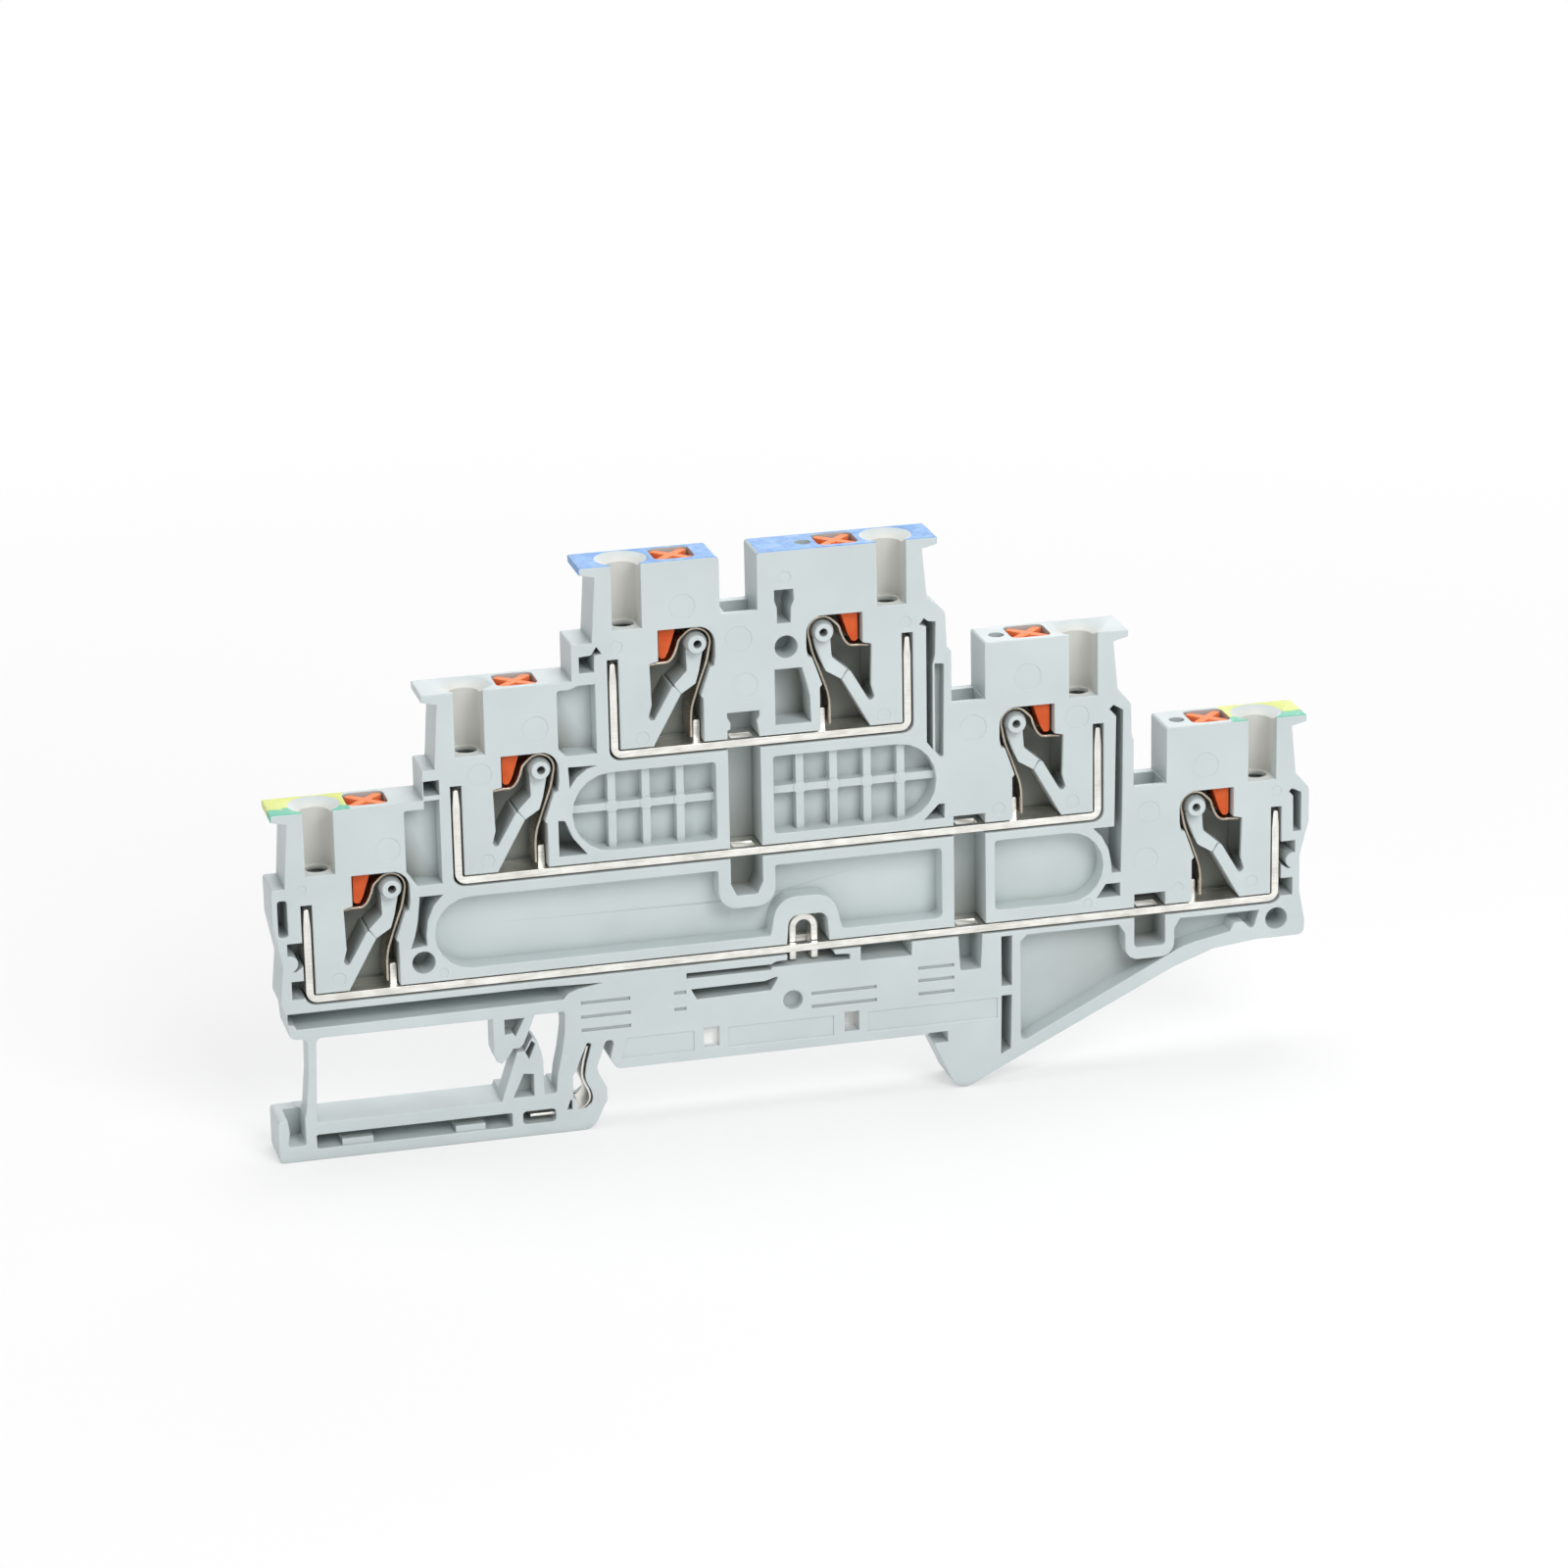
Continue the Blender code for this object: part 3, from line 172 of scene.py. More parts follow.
def new_material(name: str) -> tuple[Material, NodeTree, Node]:
    """Make an empty node material.

    Args:
        name: Name of the real material and how it was made.

    Returns:
        The material, its node tree and its Principled shader.
    """
    made = bpy.data.materials.new(name)
    made.use_nodes = True
    tree = made.node_tree
    return made, tree, tree.nodes["Principled BSDF"]


def mottle(tree: NodeTree, size_mm: float, detail: float = 2.0,
           stretch: Triple = (1.0, 1.0, 1.0), reach: Pair | None = None) -> NodeSocket:
    """Noise on Object coordinates with a feature size in millimetres.

    Args:
        tree: Node tree that gets the nodes.
        size_mm: Size of one patch of the noise.
        detail: Octaves of finer noise.
        stretch: How many times longer a patch is along each axis.
        reach: Results for noise up to 0.3 and from 0.7, or none for the bare noise.

    Returns:
        The value's socket; bare noise is about 0.5 in the mean.
    """
    place = add_node(tree, "TexCoord", out="Object")
    mapped = add_node(tree, "Mapping", {
        "Vector": place, "Scale": tuple(1.0 / share for share in stretch)})
    noise = add_node(tree, "TexNoise", {
        "Vector": mapped, "Scale": 1.0 / (size_mm * MM), "Detail": detail, "Roughness": 0.55})
    if reach is None:
        return noise
    return add_node(tree, "MapRange", {
        "Value": noise, "From Min": 0.3, "From Max": 0.7, "To Min": reach[0], "To Max": reach[1]})


@dataclass(frozen=True)
class MouldedPolyamide:
    """Light grey polyamide, injection moulded in a fine spark-eroded mould.

    It gives the eye a matt, faintly translucent grey with soft wide highlights, a
    grain that only shows at grazing light and slightly cooler and warmer clouds
    where the melt flowed. Painted shade makes narrow hollows and corners darker and
    warmer, except on the arms and funnels; painted light makes the wire funnels
    lighter and warmer and the floors of the two niches of the base pale.
    """

    colour: str = "#CCD5D6"
    cloud: str = "#C5CECF"
    # Painted shade: darker, warmer grey laid into deep cavities, shafts and corners
    hollow: str = "#80827A"
    # Painted light: lighter, warmer grey in the wire funnels
    painted_funnel_light: str = "#D8D7D0"
    # Painted light: near white on the floors of the two niches
    painted_niche_light: str = "#FDFDFB"
    cloud_mm: float = 9.0
    grain_mm: float = 0.16
    edge_mm: float = 0.09
    # Reach and strength of the painted shade in corners, from ambient occlusion
    corner_shade_mm: float = 1.6
    corner_shade_share: float = 0.4
    roughness: Pair = (0.41, 0.51)

    def make(self) -> Material:
        """Build the material with its marking tints on the tower tops."""
        made, tree, shader = new_material("polyamide_injection_moulded_grey")
        base = add_node(tree, "Mix", {
            0: mottle(tree, self.cloud_mm, reach=(0.0, 1.0)),
            6: linear(self.colour), 7: linear(self.cloud)}, **COLOURS)
        # Painted shade in cavities and shafts, painted light in the funnels and on the niche
        # floors, each by its share
        for name, tone in (("hollow", self.hollow), ("painted_funnel_light", self.painted_funnel_light), ("painted_niche_light", self.painted_niche_light)):
            share = add_node(tree, "Attribute", out="Fac", attribute_name=name)
            base = add_node(tree, "Mix", {0: share, 6: base, 7: linear(tone)}, **COLOURS)
        # Painted shade in corners: ambient occlusion mixes in the shade colour, less where the
        # attribute turns it off
        corner = add_node(tree, "AmbientOcclusion", {"Distance": self.corner_shade_mm * MM}, "AO",
                          samples=4)
        closed = add_node(tree, "MapRange", {
            "Value": corner, "From Min": 0.15, "From Max": 0.75,
            "To Min": self.corner_shade_share, "To Max": 0.0})
        corner_shade_off = add_node(tree, "Attribute", out="Fac", attribute_name="corner_shade_off")
        shade = add_node(tree, "MapRange", {"Value": corner_shade_off, "To Min": closed, "To Max": 0.0})
        base = add_node(tree, "Mix", {0: shade, 6: base, 7: linear(self.hollow)}, **COLOURS)
        rounding = add_node(tree, "Bevel", {"Radius": self.edge_mm * MM}, samples=6)
        bump = add_node(tree, "Bump", {
            "Height": mottle(tree, self.grain_mm, 1.0), "Strength": 0.12, "Distance": 0.02 * MM,
            "Normal": rounding})
        set_inputs(tree, shader, {
            "Base Color": TowerPrint().tinted(tree, base),
            "Roughness": mottle(tree, 1.5, 3.0, reach=self.roughness),
            "IOR": 1.53, "Specular IOR Level": 0.4, "Subsurface Weight": 0.12,
            "Subsurface Radius": (1.0, 0.95, 0.9), "Subsurface Scale": 0.35 * MM, "Normal": bump})
        return made


@dataclass(frozen=True)
class TowerPrint:
    """Marking ink on the tower tops: blue on the upper pair, yellow and green on the lower.

    It gives the eye a thin, slightly patchy print whose yellow and green meet in a
    wavy line near the open front and fade out at the push button.
    """

    blue: str = "#4083CE"
    blue_light: str = "#6CA8E2"
    yellow: str = "#D9E06A"
    green: str = "#40B694"
    green_edge_y: float = -1.0
    edge_blur: float = 0.25
    edge_wave: float = 0.5
    fade: Pair = (-0.1, 0.15)

    def tinted(self, tree: NodeTree, base: NodeSocket) -> NodeSocket:
        """Lay the inks over the plastic's colour, by the housing's own attributes.

        Args:
            tree: Node tree of the plastic.
            base: Colour of the bare plastic.

        Returns:
            Colour socket with the inks in it.
        """
        blue = add_node(tree, "Mix", {
            0: mottle(tree, 1.1, 3.0, reach=(0.0, 1.0)),
            6: linear(self.blue), 7: linear(self.blue_light)}, **COLOURS)
        place = add_node(tree, "TexCoord", out="Object")
        across = add_node(tree, "SeparateXYZ", {0: place}, "Y")
        wave = mottle(tree, 1.6, reach=(-self.edge_wave * MM, self.edge_wave * MM))
        depth = add_node(tree, "Math", {0: across, 1: wave}, operation="ADD")
        back = add_node(tree, "MapRange", {
            "Value": depth, "From Min": (self.green_edge_y - self.edge_blur) * MM,
            "From Max": (self.green_edge_y + self.edge_blur) * MM})
        earth = add_node(tree, "Mix", {
            0: back, 6: linear(self.green), 7: linear(self.yellow)}, **COLOURS)
        wear = mottle(tree, 0.5, 3.0, reach=(0.75, 1.0))
        past = add_node(tree, "Attribute", out="Fac", attribute_name="ink_past")
        beyond = add_node(tree, "MapRange", {
            "Value": past, "From Min": self.fade[0], "From Max": self.fade[1]})
        outer = add_node(tree, "Math", {0: wear, 1: beyond}, operation="MULTIPLY")
        for name, ink, strength in (("ink_blue", blue, wear), ("ink_earth", earth, outer)):
            where = add_node(tree, "Attribute", out="Fac", attribute_name=name)
            share = add_node(tree, "Math", {0: where, 1: strength}, operation="MULTIPLY")
            base = add_node(tree, "Mix", {0: share, 6: base, 7: ink}, **COLOURS)
        return base


@dataclass(frozen=True)
class MouldedOrangePlastic:
    """Orange polybutylene, injection moulded, for the push buttons.

    It gives the eye a satin, warm orange, made lighter on the head's raised cross by painted light.
    """

    colour: str = "#DB6535"
    shade: str = "#CC5428"
    # Painted light: lighter orange on the top of the head
    painted_top_light: str = "#F58A55"
    roughness: Pair = (0.45, 0.57)

    def make(self) -> Material:
        """Build the material: two close tones in soft patches, and painted light on the head's top.
        """
        made, tree, shader = new_material("polybutylene_injection_moulded_orange")
        body = add_node(tree, "Mix", {
            0: mottle(tree, 1.8, reach=(0.0, 1.0)),
            6: linear(self.colour), 7: linear(self.shade)}, **COLOURS)
        # Painted light on the head's top, by the share written on the button
        head = add_node(tree, "Attribute", out="Fac", attribute_name="head")
        base = add_node(tree, "Mix", {0: head, 6: body, 7: linear(self.painted_top_light)}, **COLOURS)
        bump = add_node(tree, "Bump", {
            "Height": mottle(tree, 0.14, 1.0), "Strength": 0.12, "Distance": 0.02 * MM})
        set_inputs(tree, shader, {
            "Base Color": base, "Roughness": mottle(tree, 0.6, reach=self.roughness),
            "IOR": 1.52, "Specular IOR Level": 0.15, "Subsurface Weight": 0.1,
            "Subsurface Radius": (1.0, 0.4, 0.2), "Subsurface Scale": 0.3 * MM, "Normal": bump})
        return made


@dataclass(frozen=True)
class StampedMetal:
    """Strip metal with fine rolling lines, stamped and bent."""

    name: str
    colour: str
    shade: str
    roughness: Pair
    line_mm: float
    lines_along: Triple

    def make(self) -> Material:
        """Build the metal: two close tones in long streaks that the roughness follows."""
        made, tree, shader = new_material(self.name)
        turned = add_node(tree, "Attribute", out="Fac", attribute_name="upright")
        streaks = add_node(tree, "Mix", {
            0: turned, 2: mottle(tree, self.line_mm, 3.0, self.lines_along),
            3: mottle(tree, self.line_mm, 3.0, self.lines_along[::-1])})
        worn = add_node(tree, "Math", {0: mottle(tree, 2.5), 1: streaks}, operation="ADD")
        tone = add_node(tree, "MapRange", {"Value": worn, "From Min": 0.75, "From Max": 1.25})
        base = add_node(tree, "Mix", {
            0: tone, 6: linear(self.colour), 7: linear(self.shade)}, **COLOURS)
        rough = add_node(tree, "MapRange", {
            "Value": streaks, "From Min": 0.3, "From Max": 0.7,
            "To Min": self.roughness[0], "To Max": self.roughness[1]})
        rounding = add_node(tree, "Bevel", {"Radius": 0.06 * MM}, samples=4)
        bump = add_node(tree, "Bump", {
            "Height": streaks, "Strength": 0.15, "Distance": 0.01 * MM, "Normal": rounding})
        set_inputs(tree, shader, {
            "Base Color": base, "Metallic": 1.0, "Roughness": rough, "Normal": bump})
        return made


# Tin laid on copper strip gives a bright, faintly warm white metal with soft streaks
TINNED_COPPER = StampedMetal(
    "copper_strip_tinned", "#FAF9F3", "#D9D7CF", (0.29, 0.45), 0.14, (14.0, 1.5, 1.5))
# Rolled stainless strip gives a warm grey metal, darker where it mirrors the cavity
SPRING_STEEL = StampedMetal(
    "stainless_spring_strip_rolled", "#C9BFB1", "#9C9182", (0.23, 0.39), 0.1, (1.0, 14.0, 1.0))
# The blade of the catch is bright rolled stainless: nearly white, with faint streaks
BLADE_STEEL = StampedMetal(
    "stainless_blade_bright_rolled", "#F6F4EF", "#DAD6CE", (0.27, 0.43), 0.1, (1.0, 14.0, 1.0))


def added(name: str, data: ID | None) -> Object:
    """New object with some data, in the scene's own collection."""
    made = bpy.data.objects.new(name, data)
    bpy.context.scene.collection.objects.link(made)
    return made


def vectors(items: Any, name: str) -> Array:
    """One vector of every point, face or triangle of a mesh, as rows."""
    found = np.empty(len(items) * 3)
    items.foreach_get(name, found)
    return found.reshape(-1, 3)


def between(values: Array, limits: Pair) -> Array:
    """Which values lie inside two limits."""
    return (values > limits[0]) & (values < limits[1])


def write_share(mesh: Mesh, name: str, domain: str, share: Array) -> None:
    """Write a number on every point or face of a mesh, for its material."""
    written = mesh.attributes.new(name, "FLOAT", domain).data
    written.foreach_set("value", share.astype(np.float32))


def ring_faces(rows: int, around: int, start: int = 0) -> list[list[int]]:
    """Faces of a tube of rings, with a flat cap at each end.

    Args:
        rows: Number of rings.
        around: Number of points in each ring.
        start: Number of the first point.

    Returns:
        Faces as lists of point numbers.
    """
    row, column = np.meshgrid(np.arange(rows - 1), np.arange(around), indexing="ij")
    low = start + row * around
    high = low + around
    following = (column + 1) % around
    quads = np.stack([low + column, low + following, high + following, high + column], axis=-1)
    first = start + np.arange(around)
    last = first + (rows - 1) * around
    return quads.reshape(-1, 4).tolist() + [first[::-1].tolist(), last.tolist()]


def closed_mesh(name: str, points: Array, faces: list[list[int]]) -> Mesh:
    """Mesh whose faces look outward, smooth apart from its crisp edges.

    Args:
        name: Name of the mesh.
        points: Its points in millimetres.
        faces: Its faces as lists of point numbers.

    Returns:
        The mesh in metres.
    """
    mesh = bpy.data.meshes.new(name)
    mesh.from_pydata((points.reshape(-1, 3) * MM).tolist(), [], faces)
    outward = bmesh.new()
    outward.from_mesh(mesh)
    bmesh.ops.recalc_face_normals(outward, faces=outward.faces)
    outward.to_mesh(mesh)
    outward.free()
    mesh.shade_smooth()
    mesh.set_sharp_from_angle(angle=math.radians(SWEPT_ANGLE))
    return mesh


def copied_node(node: str, name: str, body: str, merge: float = 0.002) -> Object:
    """New piece from a CAD node's mesh, with its loose triangles merged.

    Args:
        node: Name of the CAD node that the piece stands for.
        name: Name of the piece.
        body: CAD body that it rides on.
        merge: Points closer than this many millimetres become one.

    Returns:
        The piece, riding on its body and standing for the node.
    """
    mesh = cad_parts[node].data.copy()
    mesh.name = name
    mesh.materials.clear()
    piece = added(name, mesh)
    work = bmesh.new()
    work.from_mesh(mesh)
    bmesh.ops.remove_doubles(work, verts=work.verts, dist=merge * MM)
    bmesh.ops.dissolve_degenerate(work, edges=work.edges, dist=merge * MM)
    work.to_mesh(mesh)
    work.free()
    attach(piece, body)
    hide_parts(node)
    return piece


def shade_by_angle(piece: Object, degrees: float) -> None:
    """Shade a mesh smooth and keep the edges sharper than an angle."""
    mesh = piece.data
    for name in ("custom_normal", "sharp_face", "sharp_edge"):
        found = mesh.attributes.get(name)
        if found:
            mesh.attributes.remove(found)
    mesh.shade_smooth()
    mesh.set_sharp_from_angle(angle=math.radians(degrees))


def bevelled(piece: Object, width: float) -> None:
    """Shade a piece and round its edges with live Bevel and Weighted Normal modifiers.

    Args:
        piece: Piece to round.
        width: Width of the bevel in millimetres.
    """
    shade_by_angle(piece, CRISP_ANGLE)
    bevel = piece.modifiers.new("rounded_edges", "BEVEL")
    bevel.width = width * MM
    bevel.segments = BEVEL_STEPS
    bevel.limit_method = "ANGLE"
    bevel.angle_limit = math.radians(BEVEL_ANGLE)
    bevel.use_clamp_overlap = True
    normals = piece.modifiers.new("weighted_normals", "WEIGHTED_NORMAL")
    normals.keep_sharp = False


@dataclass(frozen=True)
class Clamp:
    """One clamp's place: its ring, worked out from its button's box in the frame.

    Out and up are measured from the ring, towards the clamp's wire and away from the
    rail. The three heights and lengths are the solid's own, from the ring's middle.
    """

    level: Level
    side: Side

    TOWER_TOP: ClassVar[float] = 8.75
    BUTTON_TOP: ClassVar[float] = 8.6
    BUTTON_AXIS: ClassVar[float] = 1.87

    @property
    def place(self) -> str:
        """Words of this clamp's place, as in the frame's names."""
        return f"{self.level.value}_{self.side.name.lower()}"

    @property
    def button_box(self) -> Array:
        """Low and high corner of the button's solid, in millimetres."""
        return np.array(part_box(f"push_button_{self.place}")) / MM

    @property
    def ring_x(self) -> float:
        """Place of the ring along the block."""
        return float(self.button_box[:, 0].mean()) - self.side.value * self.BUTTON_AXIS

    @property
    def ring_z(self) -> float:
        """Height of the ring."""
        return float(self.button_box[1, 2]) - self.BUTTON_TOP

    def seen(self, points: Array) -> tuple[Array, Array]:
        """How far out and up some points lie."""
        return (points[:, 0] - self.ring_x) * self.side.value, points[:, 2] - self.ring_z

    def path(self, corners: list[Pair]) -> Pairs:
        """Points given out and up, as points in the block's plane."""
        return tuple((self.ring_x + self.side.value * out, self.ring_z + up) for out, up in corners)


CLAMPS = tuple(Clamp(level, side) for level in Level for side in Side)


# Ejector pin marks, as the photograph shows them on the open front: x, z, radius
PINS = np.array([
    (-38.65, 25.4, 1.25), (-23.64, 36.27, 1.3), (-8.7, 47.3, 1.3), (44.93, 25.68, 1.35),
    (26.3, 36.8, 1.4), (-29.27, 32.1, 1.2), (31.4, 32.13, 1.25), (20.6, 32.0, 1.4),
    (38.6, 16.3, 1.3), (38.9, 21.3, 1.2), (-3.13, 43.47, 1.35), (-2.6, 38.7, 1.3),
    (-44.0, 12.55, 0.7), (-28.8, 23.2, 0.7), (-13.0, 34.27, 0.7), (11.48, 34.3, 0.7),
    (30.9, 23.3, 0.7), (49.87, 12.8, 0.65), (-15.4, 43.8, 0.65), (13.8, 43.65, 0.6),
    (52.5, 22.2, 0.55), (-47.35, 22.1, 0.55), (23.2, 23.3, 0.65), (42.0, 12.9, 0.6),
    (1.61, 49.33, 0.65), (-33.6, 12.1, 0.5), (32.5, 12.3, 0.45),
])


@dataclass
class FlatSide:
    """One flat side of a closed triangle mesh whose edges get rounded.

    Every loop that bounds the side keeps its wall, which sinks by r. From there rings
    lie at r (1 - cos t) into the material and r (1 - sin t) below the side, for t from
    0 to a quarter turn, and the flat left inside the last ring is triangulated again.
    A radius shrinks, a few times at most, where the ring has less free room than it.
    """

    place: float
    outward: int
    radius: float = 0.12
    steps: int = 3
    miter: float = 2.0
    sharpest: float = 0.05
    shrinks: int = 5
    shrink: float = 0.7
    free_share: float = 0.9
    batches: int = 16
    flatness: float = 0.001
    near: float = 1e-7
    pin_slope: float = 0.06
    pin_depth: float = 0.07
    pin_points: int = 36

    def flat(self, points: Array) -> Array:
        """The side's own plane seen from outside: right and up, in millimetres."""
        return np.column_stack([-self.outward * points[:, 0], points[:, 2]])

    def solid(self, flat: Array, depth: Array | float) -> Array:
        """Points of the side's plane at a depth below it, back in the frame's axes."""
        across = np.full(len(flat), self.place) - self.outward * np.asarray(depth)
        return np.column_stack([-self.outward * flat[:, 0], across, flat[:, 1]])

    def outline(self, triangles: Array, count: int) -> Array:
        """Directed edges that bound some triangles, with the material on their left."""
        edges = np.concatenate([triangles[:, [0, 1]], triangles[:, [1, 2]], triangles[:, [2, 0]]])
        ahead = edges[:, 0] * count + edges[:, 1]
        behind = edges[:, 1] * count + edges[:, 0]
        return edges[~np.isin(ahead, behind)]

    def inward(self, flat: Array, edges: Array) -> Array:
        """Miter direction into the material at the start of each edge.

        With n and m the left normals of the edges before and after, it is
        (n + m) / (1 + n.m), no longer than the miter limit.
        """
        along = flat[edges[:, 1]] - flat[edges[:, 0]]
        along /= np.linalg.norm(along, axis=1)[:, None]
        after = np.column_stack([-along[:, 1], along[:, 0]])
        last = np.empty(len(flat), dtype=int)
        last[edges[:, 1]] = np.arange(len(edges))
        before = after[last[edges[:, 0]]]
        turned = 1.0 + (before * after).sum(axis=1)
        middle = (before + after) / turned[:, None].clip(self.sharpest)
        length = np.linalg.norm(middle, axis=1)[:, None]
        return middle * np.minimum(1.0, self.miter / length)

    def room(self, starts: Array, places: Array, ends: Array) -> Array:
        """Distance from each place to the nearest outline edge."""
        along = ends - starts
        share = ((places[:, None] - starts) * along).sum(axis=2) / (along ** 2).sum(axis=1)
        nearest = starts + share.clip(0.0, 1.0)[..., None] * along
        return np.linalg.norm(places[:, None] - nearest, axis=2).min(axis=1)

    def radii(self, flat: Array, edges: Array, inward: Array) -> Array:
        """Radius at the start of each edge, smaller where the material is too narrow for it."""
        starts, ends = flat[edges[:, 0]], flat[edges[:, 1]]
        radii = np.full(len(edges), self.radius)
        for _ in range(self.shrinks):
            for part in np.array_split(np.arange(len(edges)), self.batches):
                free = self.room(starts, starts[part] + radii[part, None] * inward[part], ends)
                narrow = free < self.free_share * radii[part]
                radii[part] *= np.where(narrow, self.shrink, 1.0)
        return radii

    def fill(self, flat: Array, loops: Array) -> tuple[Array, Array]:
        """Triangles between all loops.

        A triangle is kept where the loops turn round its middle to the left, counted
        by the edges that a ray to the right crosses upward less those crossed downward.

        Args:
            flat: Points of the side's plane.
            loops: Directed edges between them, with the material on their left.

        Returns:
            Points, the given ones first, and triangles with their normal outward.
        """
        found = delaunay_2d_cdt([Vector(point) for point in flat], loops.tolist(), [], 0, self.near)
        points = np.array([tuple(point) for point in found[0]])
        source = np.array([given[0] if given else -1 for given in found[3]])
        fresh = np.flatnonzero(source < 0)
        source[fresh] = len(flat) + np.arange(len(fresh))
        corners = np.array(found[2])
        middle = points[corners].mean(axis=1)
        starts, ends = flat[loops[:, 0]], flat[loops[:, 1]]
        turns = np.zeros(len(middle), dtype=int)
        for low, high, sign in ((starts, ends, 1), (ends, starts, -1)):
            crosses = (low[:, 1] <= middle[:, None, 1]) & (high[:, 1] > middle[:, None, 1])
            rise = np.where(high[:, 1] == low[:, 1], 1.0, high[:, 1] - low[:, 1])
            at = low[:, 0] + (middle[:, None, 1] - low[:, 1]) / rise * (high[:, 0] - low[:, 0])
            turns += sign * (crosses & (at > middle[:, None, 0])).sum(axis=1)
        return np.concatenate([flat, points[fresh]]), source[corners[turns > 0]]

    def rings(self, pins: Array, slope: float) -> Array:
        """Points x = x0 + (r - s) cos t, z = z0 - (r - s) sin t round every pin, s the slope."""
        turn = np.linspace(0.0, FULL_TURN, self.pin_points, endpoint=False)
        circle = np.column_stack([np.cos(turn), -np.sin(turn)])
        return (pins[:, None, :2] + (pins[:, None, 2:] - slope) * circle).reshape(-1, 2)

    def band(self, low: Array, high: Array) -> list[Array]:
        """Triangles between two rings of directed edges."""
        return [np.column_stack([low[:, 0], low[:, 1], high[:, 1]]),
                np.column_stack([low[:, 0], high[:, 1], high[:, 0]])]

    def rounded(self, points: Array, triangles: Array, pins: Array) -> tuple[Array, Array]:
        """Round the side's edges and press the pin marks into it.

        Args:
            points: All points of the mesh in millimetres.
            triangles: All its triangles.
            pins: Place and radius of each mark that is pressed into the side.

        Returns:
            The new points and triangles.
        """
        away = np.abs(points[triangles][:, :, 1] - self.place).max(axis=1)
        on = away < self.flatness
        edges = self.outline(triangles[on], len(points))
        flat = self.flat(points)
        inward = self.inward(flat, edges)
        radii = self.radii(flat, edges, inward)
        order = np.full(len(points), -1)
        order[edges[:, 0]] = np.arange(len(edges))
        sunk = points.copy()
        sunk[edges[:, 0], 1] -= self.outward * radii
        stations = [sunk]
        rings = [edges]
        total = len(points)
        for step in range(1, self.steps + 1):
            turn = QUARTER_TURN * step / self.steps
            inset = flat[edges[:, 0]] + (radii * (1.0 - math.cos(turn)))[:, None] * inward
            stations.append(self.solid(inset, radii * (1.0 - math.sin(turn))))
            rings.append(order[edges] + total)
            total += len(edges)
        faces = [triangles[~on]]
        for low, high in zip(rings, rings[1:]):
            faces += self.band(low, high)
        around = np.arange(len(pins) * self.pin_points).reshape(-1, self.pin_points)
        edge = np.column_stack([np.roll(around, -1, axis=1).ravel(), around.ravel()])
        loops = np.concatenate([order[edges], edge[:, ::-1] + len(edges)])
        plane, fill = self.fill(np.concatenate([inset, self.rings(pins, 0.0)]), loops)
        extra = self.solid(plane[len(edges):], 0.0)
        inner = total + len(extra)
        hubs = inner + len(edge) + np.repeat(np.arange(len(pins)), self.pin_points)
        faces += [fill + total - len(edges), *self.band(edge + total, edge + inner),
                  np.column_stack([edge + inner, hubs])]
        stations += [extra, self.solid(self.rings(pins, self.pin_slope), self.pin_depth),
                     self.solid(pins[:, :2], self.pin_depth)]
        return np.concatenate(stations), np.concatenate(faces)


